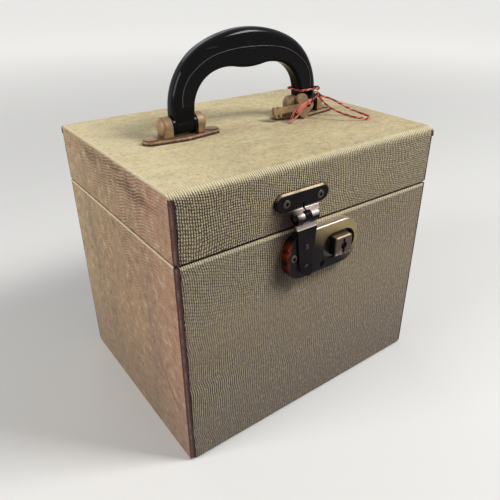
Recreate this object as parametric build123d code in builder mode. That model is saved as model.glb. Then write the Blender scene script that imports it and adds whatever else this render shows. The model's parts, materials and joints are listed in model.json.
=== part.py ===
from build123d import *
import math
import os

# A lidded box for sewing machine attachments: a covered wooden carcass, a lid on two
# back hinges, a folding moulded handle on two cast feet, and a hasp that closes over a
# sliding-button lock.  Millimetres, +Z up, +Y to the back; the origin is the middle of
# the underside.

# ------------------------------------------------------------------ driving dimensions

# Carcass and its covering
box_width = 228.6
box_depth = 177.8
seam_height = 163.8
seam_gap = 0.8
lid_height = 44.6
board_thickness = 6.5
covering_thickness = 0.8
lining_thickness = 0.6
strip_thickness = 0.8
board_corner_radius = 1.7
board_edge_ease = 0.4
base_board_radius = 2.2
lid_board_radius = 5.2
strip_groove = 0.5
bottom_turn_in = 14.0

# Fits
running_clearance = 0.05
bore_clearance = 0.1
move_clearance = 0.3
face_clearance = 0.2

# Back hinges
hinge_inset = 44.3
hinge_length = 38.0
hinge_leaf_height = 20.0
hinge_leaf_thickness = 1.2
hinge_leaf_corner = 3.0
hinge_knuckle_radius = 2.7
hinge_axis_offset = 3.2
hinge_pin_radius = 1.4
hinge_rivet_spacing = 24.0
hinge_rivet_drop = 11.5
small_rivet_head_radius = 2.6
small_rivet_head_height = 1.0
small_rivet_radius = 1.3
rivet_tail_radius = 2.4
rivet_tail_height = 0.8
rivet_rim_share = 0.3

# Handle feet on the lid
foot_spacing = 113.0
pivot_height = 10.0
foot_plate_thickness = 2.8
foot_middle_radius = 9.5
foot_end_radius = 6.3
foot_screw_spacing = 48.4
foot_edge_ease = 0.9
lug_gap = 20.0
lug_thickness = 6.0
lug_radius = 7.0
lug_edge_radius = 1.3
foot_rivet_head_radius = 5.2
foot_rivet_head_height = 1.6
foot_rivet_radius = 2.0
foot_washer_radius = 6.5
foot_washer_thickness = 1.0
handle_pin_radius = 2.2
handle_pin_proud = 0.4
pin_end_share = 0.8

# Handle arch; heights are measured from the pivot
barrel_radius = 6.8
barrel_collar = 2.4
barrel_groove = 0.6
barrel_groove_depth = 0.5
barrel_step = 0.1
collar_bevel = 0.7
leg_width = 17.6
leg_foot_height = 3.5
leg_height = 12.8
leg_splay = 0.4
crown_height = 60.8
shoulder_inset = 27.3
shoulder_height = 52.3
ledge_crown_height = 48.1
ledge_shoulder_inset = 33.7
ledge_shoulder_height = 46.3
ledge_bend_inset = 7.7
ledge_bend_height = 33.8
ledge_inset = 7.6
palm_height = 33.7
palm_rise_inset = 35.7
palm_rise_height = 34.9
hollow_inset = 16.7
hollow_height = 33.4
grip_depth = 13.6
grip_inner_depth = 12.4
grip_outer_radius = 5.2
grip_inner_radius = 2.8

# Hasp on the lid front
hasp_x = -19.6
hasp_plate_length = 46.3
hasp_plate_height = 12.9
hasp_plate_rise = 20.95
hasp_plate_depth = 2.5
hasp_plate_bevel = 1.3
hasp_sheet = 1.2
hasp_rivet_spacing = 29.0
hasp_rivet_rise = 20.4
hasp_axis_rise = 8.8
hasp_axis_offset = 4.6
hasp_knuckle_radius = 4.2
hasp_roll_width = 18.0
hasp_middle_width = 5.6
hasp_pin_radius = 1.6
tongue_top_width = 28.2
tongue_flare_radius = 6.5
tongue_slot_rise = 0.9
tongue_slot_width = 1.5
tongue_slot_length = 5.5
leaf_width = 17.4
leaf_root_step = 0.7
leaf_tip_width = 11.0
leaf_tip_drop = 34.2
leaf_bend_drop = 8.6
leaf_front_offset = 7.6
lip_drop = 27.8
lip_offset = 11.0
leaf_lip_radius = 8.0
eyelet_radius = 2.9
eyelet_height = 0.9
eyelet_bore_radius = 1.3
eyelet_shank_radius = 1.9

# Staple on the back of the hasp leaf
staple_width = 3.0
staple_wire = 1.5
staple_top_drop = 11.4
staple_bottom_drop = 29.5
staple_back_offset = 1.1
staple_proud = 0.4

# Lock on the base front
case_x = -2.0
case_drop = 20.3
case_length = 66.3
case_height = 35.0
case_corner_radius = 14.0
case_depth = 6.2
case_wall = 0.9
case_edge_radius = 0.8
case_window_x = 12.7
case_window_drop = 20.8
case_window_length = 31.0
case_window_height = 20.0
case_rivet_x = -29.6
case_rivet_drop = 19.8
case_pin_x = -1.8
case_pin_drop = 33.3
button_x = 11.7
button_drop = 20
button_width = 16.6
button_height = 14.8
button_depth = 6.0
button_wall = 1.3
button_corner_radius = 2.2
button_bevel = 0.9
keyhole_radius = 2.7
keyhole_length = 11.2
keyhole_width = 2.2
slider_left = -5.8
slider_stop_gap = 3.85
slider_height = 21.6
slider_thickness = 0.8
slider_corner_radius = 8.0
bolt_tail_x = 18.0
bolt_height = 6.0
bolt_drop = 20.8
bolt_thickness = 1.5
spring_radius = 1.5
spring_wire_radius = 0.25
spring_turns = 7
spring_lug_x = 9.5
spring_end_gap = 1.25
spring_drop = 6.9
cam_radius = 3.4
cam_thickness = 2.2
cam_seat = 7.7
cam_tongue_reach = 5.4
cam_tongue_width = 2.2
cam_post_radius = 1.1

# Keys tied to the right foot of the handle
key_thickness = 1.3
key_lobe_radius = 4.5
key_lobe_reach = 5.0
key_heel_reach = 4.4
key_hole_radius = 2.0
key_blade_width = 4.4
key_blade_length = 26.5
key_bit_drop = 2.4
key_bit_rise = 1.1
key_bit_places = (1.6, 5.2)
key_bit_width = 2.0
# Places of the bow and the tip, with heights above the lid top
key_bow_place = (47.2, -11.6, 10.4)
key_tip_place = (21.1, -6.9, 7.55)
key_lean = (-0.08, 0.2, 0.977)
second_key_gap = 0.4
second_key_turn = 3.0

# Twine
twine_diameter = 1.7
cord_arc_share = 0.45
twine_ring_height = 11.3
ring_knot_radius = 2.0
twine_knot_radius = 2.1
bow_knot_radius = 2.0
tie_stand_off = 3.0
tie_reach = 3.2
bow_knot_centre = (50.2, -17.2, 224.4)
twine_knot_centre = (63.2, -11.2, 226.0)

# ------------------------------------------------------------------ derived places

box_height = seam_height + seam_gap + lid_height
half_width = box_width / 2
half_depth = box_depth / 2
carcass_half_width = half_width - covering_thickness
carcass_half_depth = half_depth - covering_thickness
inner_half_width = carcass_half_width - board_thickness
inner_half_depth = carcass_half_depth - board_thickness
corner_radius = board_corner_radius + covering_thickness
rim_radius = board_edge_ease + covering_thickness
front_half_width = half_width - corner_radius - strip_groove
side_half_depth = half_depth - corner_radius - strip_groove

floor_top = covering_thickness + board_thickness
base_rim = seam_height - covering_thickness
lid_bottom = seam_height + seam_gap
lid_rim = lid_bottom + covering_thickness
lid_board_top = box_height - covering_thickness
lid_ceiling = lid_board_top - board_thickness
wall_depth = covering_thickness + board_thickness + lining_thickness

hinge_axis_y = half_depth + hinge_axis_offset
hinge_axis_z = seam_height + seam_gap / 2
pivot_z = box_height + pivot_height
foot_top = box_height + foot_plate_thickness
hasp_axis_y = -half_depth - hasp_axis_offset
hasp_plate_z = seam_height + hasp_plate_rise
hasp_rivet_z = seam_height + hasp_rivet_rise
hasp_axis_z = seam_height + hasp_axis_rise
leaf_tip_z = seam_height - leaf_tip_drop
lip_z = seam_height - lip_drop
staple_top_z = seam_height - staple_top_drop
staple_bottom_z = seam_height - staple_bottom_drop
case_z = seam_height - case_drop
case_window_z = seam_height - case_window_drop
case_rivet_z = seam_height - case_rivet_drop
case_pin_z = seam_height - case_pin_drop
button_z = seam_height - button_drop
bolt_z = seam_height - bolt_drop
case_inner_right = case_x + case_length / 2 - case_wall
window_end_x = case_window_x + (case_window_length - case_window_height) / 2
corner_rise = button_height / 2 - button_corner_radius + abs(button_z - case_window_z)
corner_reach = case_window_height / 2 - button_corner_radius - move_clearance
corner_x = button_x + button_width / 2 - button_corner_radius
button_travel = window_end_x + math.sqrt(corner_reach**2 - corner_rise**2) - corner_x
slider_right = case_inner_right - button_travel - slider_stop_gap
spring_end_x = case_inner_right - spring_end_gap
bolt_tip_x = hasp_x + staple_width / 2 + move_clearance
tiny_overrun = 1.0


def front_planes(places, out=0.0):
    """Seats on the front face at the given (x, z), facing outward."""
    return [Plane(origin=(x, -half_depth - out, z), x_dir=(1, 0, 0), z_dir=(0, -1, 0)) for x, z in places]


def back_planes(places, out=0.0):
    """Seats on the back face at the given (x, z), facing outward."""
    return [Plane(origin=(x, half_depth + out, z), x_dir=(-1, 0, 0), z_dir=(0, 1, 0)) for x, z in places]


def top_planes(places, out=0.0):
    """Seats on the lid top at the given (x, y), facing up."""
    return [Plane(origin=(x, y, box_height + out), x_dir=(1, 0, 0), z_dir=(0, 0, 1)) for x, y in places]


hinge_centres = [hinge_inset - box_width / 2, box_width / 2 - hinge_inset]
foot_centres = [-foot_spacing / 2, foot_spacing / 2]
hinge_rivet_x = [c + s * hinge_rivet_spacing / 2 for c in hinge_centres for s in (-1, 1)]
hinge_base_places = [(x, hinge_axis_z - hinge_rivet_drop) for x in hinge_rivet_x]
hinge_lid_places = [(x, hinge_axis_z + hinge_rivet_drop) for x in hinge_rivet_x]
hasp_rivet_places = [(hasp_x + s * hasp_rivet_spacing / 2, hasp_rivet_z) for s in (-1, 1)]
case_rivet_places = [(case_rivet_x, case_rivet_z)]
case_pin_places = [(case_pin_x, case_pin_z)]
foot_rivet_places = [(c + s * foot_screw_spacing / 2, 0.0) for c in foot_centres for s in (-1, 1)]


def save(part, name):
    """Label a finished piece and write it to its own file."""
    part.label = name
    export_step(part, f"parts/{name}.step")


def rivet(grip, head_radius, head_height, shank_radius, tail_radius, tail_height, bore_radius=0.0):
    """A domed rivet along Z: its head sits on z = 0 and its shank runs down by the grip."""
    with BuildPart() as one:
        with BuildSketch(Plane.XZ):
            with BuildLine():
                dome = TangentArc(
                    (bore_radius, head_height),
                    (head_radius, head_height * rivet_rim_share),
                    tangent=(1, 0, 0),
                )
                Polyline(
                    dome @ 1,
                    (head_radius, 0),
                    (shank_radius, 0),
                    (shank_radius, -grip),
                    (tail_radius, -grip),
                    (tail_radius, -grip - tail_height),
                    (bore_radius, -grip - tail_height),
                    dome @ 0,
                )
            make_face()
        revolve(axis=Axis.Z)
    return one.part


def eyelet(grip):
    """A hollow rivet with a rolled head, seen as a ring around a dark hole."""
    return rivet(
        grip,
        eyelet_radius,
        eyelet_height,
        eyelet_shank_radius,
        eyelet_radius,
        rivet_tail_height,
        bore_radius=eyelet_bore_radius,
    )


def sheet(outline, radii, thickness, side, half_length, plane):
    """A folded sheet: its outer face follows the outline, with the given corner radii."""
    with BuildPart() as folded:
        with BuildSketch(plane):
            with BuildLine():
                FilletPolyline(*outline, radius=radii)
                offset(amount=thickness, side=side)
            make_face()
        extrude(amount=half_length, both=True)
    return folded.part


os.makedirs("parts", exist_ok=True)

# ------------------------------------------------------------------ base carcass

with BuildPart() as base_floor_board:
    with BuildSketch(Plane.XY.offset(covering_thickness)):
        Rectangle(2 * carcass_half_width, 2 * carcass_half_depth)
    extrude(amount=board_thickness)
    fillet(base_floor_board.edges().filter_by(Axis.Z), radius=board_corner_radius)
    bottom_edges = base_floor_board.edges().filter_by(Axis.X).group_by(Axis.Z)[0]
    fillet(bottom_edges, radius=base_board_radius)
save(base_floor_board.part, "base_floor_board")

with BuildPart() as base_right_board:
    with BuildSketch(Plane.XY.offset(floor_top)):
        with Locations((carcass_half_width, 0)):
            Rectangle(board_thickness, 2 * carcass_half_depth, align=(Align.MAX, Align.CENTER))
    extrude(amount=base_rim - floor_top)
    fillet(base_right_board.edges().filter_by(Axis.Z).group_by(Axis.X)[-1], radius=board_corner_radius)
    outer_rim = base_right_board.edges().filter_by(Axis.Y).group_by(Axis.Z)[-1].sort_by(Axis.X)[-1]
    fillet(outer_rim, radius=board_edge_ease)
save(base_right_board.part, "base_right_board")

with BuildPart() as base_left_board:
    add(base_right_board.part)
    mirror(about=Plane.YZ, mode=Mode.REPLACE)
save(base_left_board.part, "base_left_board")

with BuildPart() as base_front_board:
    with BuildSketch(Plane.XY.offset(floor_top)):
        with Locations((0, -carcass_half_depth)):
            Rectangle(2 * inner_half_width, board_thickness, align=(Align.CENTER, Align.MIN))
    extrude(amount=base_rim - floor_top)
    outer_rim = base_front_board.edges().filter_by(Axis.X).group_by(Axis.Z)[-1].sort_by(Axis.Y)[0]
    fillet(outer_rim, radius=board_edge_ease)
    with Locations(*front_planes(case_rivet_places)):
        Hole(eyelet_shank_radius + bore_clearance, depth=wall_depth)
    with Locations(*front_planes(case_pin_places)):
        Hole(small_rivet_radius + bore_clearance, depth=wall_depth)
save(base_front_board.part, "base_front_board")

with BuildPart() as base_back_board:
    with BuildSketch(Plane.XY.offset(floor_top)):
        with Locations((0, carcass_half_depth)):
            Rectangle(2 * inner_half_width, board_thickness, align=(Align.CENTER, Align.MAX))
    extrude(amount=base_rim - floor_top)
    outer_rim = base_back_board.edges().filter_by(Axis.X).group_by(Axis.Z)[-1].sort_by(Axis.Y)[-1]
    fillet(outer_rim, radius=board_edge_ease)
    with Locations(*back_planes(hinge_base_places)):
        Hole(small_rivet_radius + bore_clearance, depth=wall_depth)
save(base_back_board.part, "base_back_board")

# ------------------------------------------------------------------ base covering and lining

base_fold = [
    (-half_depth + bottom_turn_in, 0),
    (-half_depth, 0),
    (-half_depth, seam_height),
    (-inner_half_depth, seam_height),
]
base_fold_radii = [base_board_radius + covering_thickness, rim_radius]
base_fold_sheet = sheet(base_fold, base_fold_radii, covering_thickness, Side.RIGHT, front_half_width, Plane.YZ)

with BuildPart() as base_front_covering:
    add(base_fold_sheet)
    with Locations(*front_planes(case_rivet_places)):
        Hole(eyelet_shank_radius + bore_clearance, depth=wall_depth)
    with Locations(*front_planes(case_pin_places)):
        Hole(small_rivet_radius + bore_clearance, depth=wall_depth)
save(base_front_covering.part, "base_front_covering")

with BuildPart() as base_back_covering:
    add(base_fold_sheet)
    mirror(about=Plane.XZ, mode=Mode.REPLACE)
    with Locations(*back_planes(hinge_base_places)):
        Hole(small_rivet_radius + bore_clearance, depth=wall_depth)
save(base_back_covering.part, "base_back_covering")

with BuildPart() as base_bottom_covering:
    with BuildSketch():
        Rectangle(2 * front_half_width, 2 * (half_depth - bottom_turn_in))
    extrude(amount=covering_thickness)
save(base_bottom_covering.part, "base_bottom_covering")

with BuildPart() as base_right_covering:
    with BuildSketch(Plane.XZ):
        with BuildLine():
            FilletPolyline(
                (half_width, 0),
                (half_width, seam_height),
                (inner_half_width, seam_height),
                radius=rim_radius,
            )
            offset(amount=covering_thickness, side=Side.LEFT)
        make_face()
    extrude(amount=side_half_depth, both=True)
    with BuildSketch(Plane.XY.offset(base_rim)):
        with Locations((carcass_half_width, inner_half_depth), (carcass_half_width, -inner_half_depth)):
            Rectangle(board_thickness, 2 * board_thickness, align=(Align.MAX, Align.CENTER))
        Rectangle(2 * carcass_half_width, 2 * inner_half_depth, mode=Mode.SUBTRACT)
    extrude(amount=covering_thickness, mode=Mode.SUBTRACT)
save(base_right_covering.part, "base_right_covering")

with BuildPart() as base_left_covering:
    add(base_right_covering.part)
    mirror(about=Plane.YZ, mode=Mode.REPLACE)
save(base_left_covering.part, "base_left_covering")


def corner_strips(bottom, top):
    """Four thin strips, each bent around an upright corner of the carcass."""
    with BuildPart() as strips:
        with BuildSketch(Plane.XY.offset(bottom)):
            with Locations((half_width - corner_radius, half_depth - corner_radius)):
                Circle(board_corner_radius + strip_thickness)
                Circle(board_corner_radius, mode=Mode.SUBTRACT)
                Rectangle(corner_radius, corner_radius, align=(Align.MIN, Align.MIN), mode=Mode.INTERSECT)
        extrude(amount=top - bottom)
        mirror(about=Plane.YZ)
        mirror(about=Plane.XZ)
    return strips.part


base_corner_strips = corner_strips(base_board_radius + covering_thickness, base_rim)
save(base_corner_strips, "base_corner_strips")

with BuildPart() as base_lining:
    with BuildSketch(Plane.XY.offset(floor_top)):
        Rectangle(2 * inner_half_width, 2 * inner_half_depth)
    extrude(amount=base_rim - floor_top)
    offset(amount=-lining_thickness, openings=base_lining.faces().sort_by(Axis.Z)[-1])
    with Locations(*front_planes(case_rivet_places)):
        Hole(eyelet_shank_radius + bore_clearance, depth=wall_depth + tiny_overrun)
    with Locations(*front_planes(case_pin_places)):
        Hole(small_rivet_radius + bore_clearance, depth=wall_depth + tiny_overrun)
    with Locations(*back_planes(hinge_base_places)):
        Hole(small_rivet_radius + bore_clearance, depth=wall_depth + tiny_overrun)
save(base_lining.part, "base_lining")

# ------------------------------------------------------------------ lid carcass

with BuildPart() as lid_top_board:
    with BuildSketch(Plane.XY.offset(lid_ceiling)):
        Rectangle(2 * carcass_half_width, 2 * carcass_half_depth)
    extrude(amount=board_thickness)
    fillet(lid_top_board.edges().filter_by(Axis.X).group_by(Axis.Z)[-1], radius=lid_board_radius)
    with Locations(*top_planes(foot_rivet_places)):
        Hole(foot_rivet_radius + bore_clearance, depth=wall_depth)
save(lid_top_board.part, "lid_top_board")

with BuildPart() as lid_right_board:
    with BuildSketch(Plane.XY.offset(lid_rim)):
        with Locations((carcass_half_width, 0)):
            Rectangle(board_thickness, 2 * carcass_half_depth, align=(Align.MAX, Align.CENTER))
    extrude(amount=lid_ceiling - lid_rim)
    fillet(lid_right_board.edges().filter_by(Axis.Z).group_by(Axis.X)[-1], radius=board_corner_radius)
    outer_rim = lid_right_board.edges().filter_by(Axis.Y).group_by(Axis.Z)[0].sort_by(Axis.X)[-1]
    fillet(outer_rim, radius=board_edge_ease)
save(lid_right_board.part, "lid_right_board")

with BuildPart() as lid_left_board:
    add(lid_right_board.part)
    mirror(about=Plane.YZ, mode=Mode.REPLACE)
save(lid_left_board.part, "lid_left_board")

with BuildPart() as lid_front_board:
    with BuildSketch(Plane.XY.offset(lid_rim)):
        with Locations((0, -carcass_half_depth)):
            Rectangle(2 * inner_half_width, board_thickness, align=(Align.CENTER, Align.MIN))
    extrude(amount=lid_ceiling - lid_rim)
    outer_rim = lid_front_board.edges().filter_by(Axis.X).group_by(Axis.Z)[0].sort_by(Axis.Y)[0]
    fillet(outer_rim, radius=board_edge_ease)
    with Locations(*front_planes(hasp_rivet_places)):
        Hole(eyelet_shank_radius + bore_clearance, depth=wall_depth)
save(lid_front_board.part, "lid_front_board")

with BuildPart() as lid_back_board:
    with BuildSketch(Plane.XY.offset(lid_rim)):
        with Locations((0, carcass_half_depth)):
            Rectangle(2 * inner_half_width, board_thickness, align=(Align.CENTER, Align.MAX))
    extrude(amount=lid_ceiling - lid_rim)
    outer_rim = lid_back_board.edges().filter_by(Axis.X).group_by(Axis.Z)[0].sort_by(Axis.Y)[-1]
    fillet(outer_rim, radius=board_edge_ease)
    with Locations(*back_planes(hinge_lid_places)):
        Hole(small_rivet_radius + bore_clearance, depth=wall_depth)
save(lid_back_board.part, "lid_back_board")

# ------------------------------------------------------------------ lid covering and lining

lid_edge_radius = lid_board_radius + covering_thickness
lid_fold = [
    (-inner_half_depth, lid_bottom),
    (-half_depth, lid_bottom),
    (-half_depth, box_height),
    (half_depth, box_height),
    (half_depth, lid_bottom),
    (inner_half_depth, lid_bottom),
]
lid_fold_radii = [rim_radius, lid_edge_radius, lid_edge_radius, rim_radius]

with BuildPart() as lid_band_covering:
    add(sheet(lid_fold, lid_fold_radii, covering_thickness, Side.RIGHT, carcass_half_width, Plane.YZ))
    with BuildSketch(Plane.XY.offset(lid_bottom)):
        with Locations((front_half_width, 0), (-front_half_width, 0)):
            Rectangle(2 * corner_radius + 2 * strip_groove, 2 * half_depth)
        Rectangle(2 * front_half_width, 2 * half_depth, mode=Mode.SUBTRACT)
    extrude(amount=lid_ceiling - lid_bottom, mode=Mode.SUBTRACT)
    with Locations(*front_planes(hasp_rivet_places)):
        Hole(eyelet_shank_radius + bore_clearance, depth=wall_depth)
    with Locations(*back_planes(hinge_lid_places)):
        Hole(small_rivet_radius + bore_clearance, depth=wall_depth)
    with Locations(*top_planes(foot_rivet_places)):
        Hole(foot_rivet_radius + bore_clearance, depth=wall_depth)
save(lid_band_covering.part, "lid_band_covering")

with BuildPart() as lid_right_covering:
    with BuildSketch(Plane.XZ):
        with BuildLine():
            FilletPolyline(
                (half_width, box_height),
                (half_width, lid_bottom),
                (inner_half_width, lid_bottom),
                radius=rim_radius,
            )
            offset(amount=covering_thickness, side=Side.RIGHT)
        make_face()
    extrude(amount=half_depth, both=True)
    with BuildSketch(Plane.YZ) as side_outline:
        with Locations((0, lid_bottom)):
            Rectangle(2 * side_half_depth, box_height - lid_bottom, align=(Align.CENTER, Align.MIN))
        with Locations((0, lid_ceiling)):
            Rectangle(2 * half_depth, box_height - lid_ceiling, align=(Align.CENTER, Align.MIN))
        fillet(side_outline.vertices().group_by(Axis.Y)[-1], radius=lid_edge_radius)
    extrude(amount=half_width, mode=Mode.INTERSECT)
    with BuildSketch(Plane.XY.offset(lid_bottom)):
        with Locations((carcass_half_width, inner_half_depth), (carcass_half_width, -inner_half_depth)):
            Rectangle(board_thickness, 2 * board_thickness, align=(Align.MAX, Align.CENTER))
        Rectangle(2 * carcass_half_width, 2 * inner_half_depth, mode=Mode.SUBTRACT)
    extrude(amount=covering_thickness, mode=Mode.SUBTRACT)
save(lid_right_covering.part, "lid_right_covering")

with BuildPart() as lid_left_covering:
    add(lid_right_covering.part)
    mirror(about=Plane.YZ, mode=Mode.REPLACE)
save(lid_left_covering.part, "lid_left_covering")

lid_corner_strips = corner_strips(lid_rim, lid_ceiling)
save(lid_corner_strips, "lid_corner_strips")

with BuildPart() as lid_lining:
    with BuildSketch(Plane.XY.offset(lid_rim)):
        Rectangle(2 * inner_half_width, 2 * inner_half_depth)
    extrude(amount=lid_ceiling - lid_rim)
    offset(amount=-lining_thickness, openings=lid_lining.faces().sort_by(Axis.Z)[0])
    with Locations(*front_planes(hasp_rivet_places)):
        Hole(eyelet_shank_radius + bore_clearance, depth=wall_depth + tiny_overrun)
    with Locations(*back_planes(hinge_lid_places)):
        Hole(small_rivet_radius + bore_clearance, depth=wall_depth + tiny_overrun)
    with Locations(*top_planes(foot_rivet_places)):
        Hole(foot_rivet_radius + bore_clearance, depth=wall_depth + tiny_overrun)
save(lid_lining.part, "lid_lining")

# ------------------------------------------------------------------ back hinges


def hinge_leaf(centre, up, spans):
    """A hinge leaf with its knuckles: up is 1 on the lid and -1 on the base."""
    leaf_start = hinge_knuckle_radius + move_clearance
    far_corners = -1 if up > 0 else 0
    with BuildPart() as leaf:
        with BuildSketch(Plane.XZ.offset(-half_depth)) as flat:
            with Locations((centre, hinge_axis_z + up * (leaf_start + hinge_leaf_height) / 2)):
                Rectangle(hinge_length, hinge_leaf_height - leaf_start)
            fillet(flat.vertices().group_by(Axis.Y)[far_corners], radius=hinge_leaf_corner)
        extrude(amount=-hinge_leaf_thickness)
        for low, high in spans:
            middle = centre + (low + high) / 2
            with BuildSketch(Plane.XZ.offset(-half_depth)):
                with Locations((middle, hinge_axis_z + up * leaf_start / 2)):
                    Rectangle(high - low, leaf_start)
            extrude(amount=-hinge_leaf_thickness)
            with BuildSketch(Plane.YZ.offset(middle)):
                with Locations((hinge_axis_y, hinge_axis_z)):
                    Circle(hinge_knuckle_radius)
            extrude(amount=(high - low) / 2, both=True)
        with BuildSketch(Plane.YZ.offset(centre)):
            with Locations((hinge_axis_y, hinge_axis_z)):
                Circle(hinge_pin_radius + running_clearance)
        extrude(amount=hinge_length, both=True, mode=Mode.SUBTRACT)
        for offset_x in (-hinge_rivet_spacing / 2, hinge_rivet_spacing / 2):
            seat = (centre + offset_x, hinge_axis_z + up * hinge_rivet_drop)
            with Locations(*back_planes([seat], out=hinge_leaf_thickness)):
                Hole(small_rivet_radius + bore_clearance, depth=2 * hinge_leaf_thickness)
    return leaf.part


knuckle_third = (hinge_length - 2 * move_clearance) / 3
outer_spans = [
    (-hinge_length / 2, -hinge_length / 2 + knuckle_third),
    (hinge_length / 2 - knuckle_third, hinge_length / 2),
]
middle_spans = [(-knuckle_third / 2, knuckle_third / 2)]

for side, centre in zip(("left", "right"), hinge_centres):
    save(hinge_leaf(centre, -1, outer_spans), f"hinge_base_leaf_{side}")
    save(hinge_leaf(centre, 1, middle_spans), f"hinge_lid_leaf_{side}")
    with BuildPart() as hinge_pin:
        with BuildSketch(Plane.YZ.offset(centre)):
            with Locations((hinge_axis_y, hinge_axis_z)):
                Circle(hinge_pin_radius)
        extrude(amount=hinge_length / 2, both=True)
    save(hinge_pin.part, f"hinge_pin_{side}")

hinge_rivet = rivet(
    hinge_leaf_thickness + wall_depth,
    small_rivet_head_radius,
    small_rivet_head_height,
    small_rivet_radius,
    rivet_tail_radius,
    rivet_tail_height,
)
with BuildPart() as hinge_base_rivets:
    with Locations(*back_planes(hinge_base_places, out=hinge_leaf_thickness)):
        add(hinge_rivet)
save(hinge_base_rivets.part, "hinge_base_rivets")

with BuildPart() as hinge_lid_rivets:
    with Locations(*back_planes(hinge_lid_places, out=hinge_leaf_thickness)):
        add(hinge_rivet)
save(hinge_lid_rivets.part, "hinge_lid_rivets")

# ------------------------------------------------------------------ handle feet, rivets and pins

for side, centre in zip(("left", "right"), foot_centres):
    with BuildPart() as foot:
        with BuildSketch(Plane.XY.offset(box_height)):
            with Locations((centre, 0)):
                Circle(foot_middle_radius)
            with Locations((centre - foot_screw_spacing / 2, 0), (centre + foot_screw_spacing / 2, 0)):
                Circle(foot_end_radius)
            make_hull()
        extrude(amount=foot_plate_thickness)
        fillet(foot.edges().group_by(Axis.Z)[-1], radius=foot_edge_ease)
        for hand in (-1, 1):
            inner_face = centre + hand * lug_gap / 2
            with BuildSketch(Plane.YZ.offset(inner_face)):
                with Locations((0, pivot_z)):
                    Circle(lug_radius)
                with Locations((0, foot_top - foot_edge_ease)):
                    Rectangle(
                        2 * lug_radius,
                        pivot_height - foot_plate_thickness + foot_edge_ease,
                        align=(Align.CENTER, Align.MIN),
                    )
            extrude(amount=hand * lug_thickness)
            outer_face = foot.faces().filter_by(Axis.X).sort_by(Axis.X)[0 if hand < 0 else -1]
            fillet(outer_face.edges().filter_by(GeomType.CIRCLE), radius=lug_edge_radius)
        with BuildSketch(Plane.YZ.offset(centre)):
            with Locations((0, pivot_z)):
                Circle(handle_pin_radius + running_clearance)
        extrude(amount=lug_gap, both=True, mode=Mode.SUBTRACT)
        with Locations((centre - foot_screw_spacing / 2, 0, foot_top), (centre + foot_screw_spacing / 2, 0, foot_top)):
            Hole(foot_rivet_radius + bore_clearance, depth=2 * foot_plate_thickness)
    save(foot.part, f"handle_foot_{side}")
    pin_reach = lug_gap / 2 + lug_thickness + handle_pin_proud
    with BuildPart() as handle_pin:
        with BuildSketch(Plane.YZ.offset(centre)):
            with Locations((0, pivot_z)):
                Circle(handle_pin_radius)
        extrude(amount=pin_reach, both=True)
        chamfer(handle_pin.edges().filter_by(GeomType.CIRCLE), length=handle_pin_proud * pin_end_share)
    save(handle_pin.part, f"handle_pin_{side}")

foot_rivet = rivet(
    foot_plate_thickness + wall_depth + foot_washer_thickness,
    foot_rivet_head_radius,
    foot_rivet_head_height,
    foot_rivet_radius,
    rivet_tail_radius + foot_rivet_radius - small_rivet_radius,
    rivet_tail_height,
)
with BuildPart() as handle_rivets:
    with Locations(*top_planes(foot_rivet_places, out=foot_plate_thickness)):
        add(foot_rivet)
save(handle_rivets.part, "handle_rivets")

with BuildPart() as handle_washers:
    with BuildSketch(Plane.XY.offset(box_height - wall_depth)):
        with Locations(*foot_rivet_places):
            Circle(foot_washer_radius)
            Circle(foot_rivet_radius + bore_clearance, mode=Mode.SUBTRACT)
    extrude(amount=-foot_washer_thickness)
save(handle_washers.part, "handle_washers")

# ------------------------------------------------------------------ handle grip

leg_outer = foot_spacing / 2 + leg_width / 2
leg_inner = foot_spacing / 2 - leg_width / 2
leg_ledge = leg_outer - ledge_inset
arch_plane = Plane(origin=(0, 0, pivot_z), x_dir=(1, 0, 0), z_dir=(0, -1, 0))

# Each arch line: the top arc's middle and end, further arc ends, then the leg's two ends
outer_arch = [
    (0, crown_height),
    (leg_outer - shoulder_inset, shoulder_height),
    (leg_outer - leg_splay, leg_height),
    (leg_outer, leg_foot_height),
]
ledge_arch = [
    (0, ledge_crown_height),
    (leg_ledge - ledge_shoulder_inset, ledge_shoulder_height),
    (leg_ledge - ledge_bend_inset, ledge_bend_height),
    (leg_ledge, leg_height),
    (leg_ledge, leg_foot_height),
]
palm_arch = [
    (0, palm_height),
    (leg_inner - palm_rise_inset, palm_rise_height),
    (leg_inner - hollow_inset, hollow_height),
    (leg_inner - leg_splay, leg_height),
    (leg_inner, leg_foot_height),
]


def arch_line(stops):
    """An arch line: an arc over the middle, tangent arcs down each side and straight legs."""
    arc = ThreePointArc((-stops[1][0], stops[1][1]), stops[0], stops[1])
    side = []
    for stop in stops[2:-1]:
        arc = TangentArc(arc @ 1, stop, tangent=arc % 1)
        side.append(arc)
    side.append(Line(arc @ 1, stops[-1]))
    mirror(side, about=Plane.YZ)


def arch_slab(high_arch, low_arch, depth, rounded_arch, radius):
    """The part of the arch between two lines, rounded along one of them."""
    with BuildLine(arch_plane) as rounded_line:
        arch_line(rounded_arch)
    with BuildPart() as slab:
        with BuildSketch(arch_plane):
            with BuildLine():
                arch_line(high_arch)
                arch_line(low_arch)
                Line(high_arch[-1], low_arch[-1])
                Line((-high_arch[-1][0], high_arch[-1][1]), (-low_arch[-1][0], low_arch[-1][1]))
            make_face()
        extrude(amount=depth / 2, both=True)
        rims = [
            edge
            for edge in slab.edges()
            if abs((edge @ 0.5).Y) > depth / 4
            and rounded_line.line.distance_to(Vertex((edge @ 0.5).X, 0, (edge @ 0.5).Z)) < face_clearance
        ]
        fillet(rims, radius=radius)
    return slab.part


outer_slab = arch_slab(outer_arch, ledge_arch, grip_depth, outer_arch, grip_outer_radius)
palm_slab = arch_slab(ledge_arch, palm_arch, grip_inner_depth, palm_arch, grip_inner_radius)
barrel_half = lug_gap / 2 - face_clearance

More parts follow.
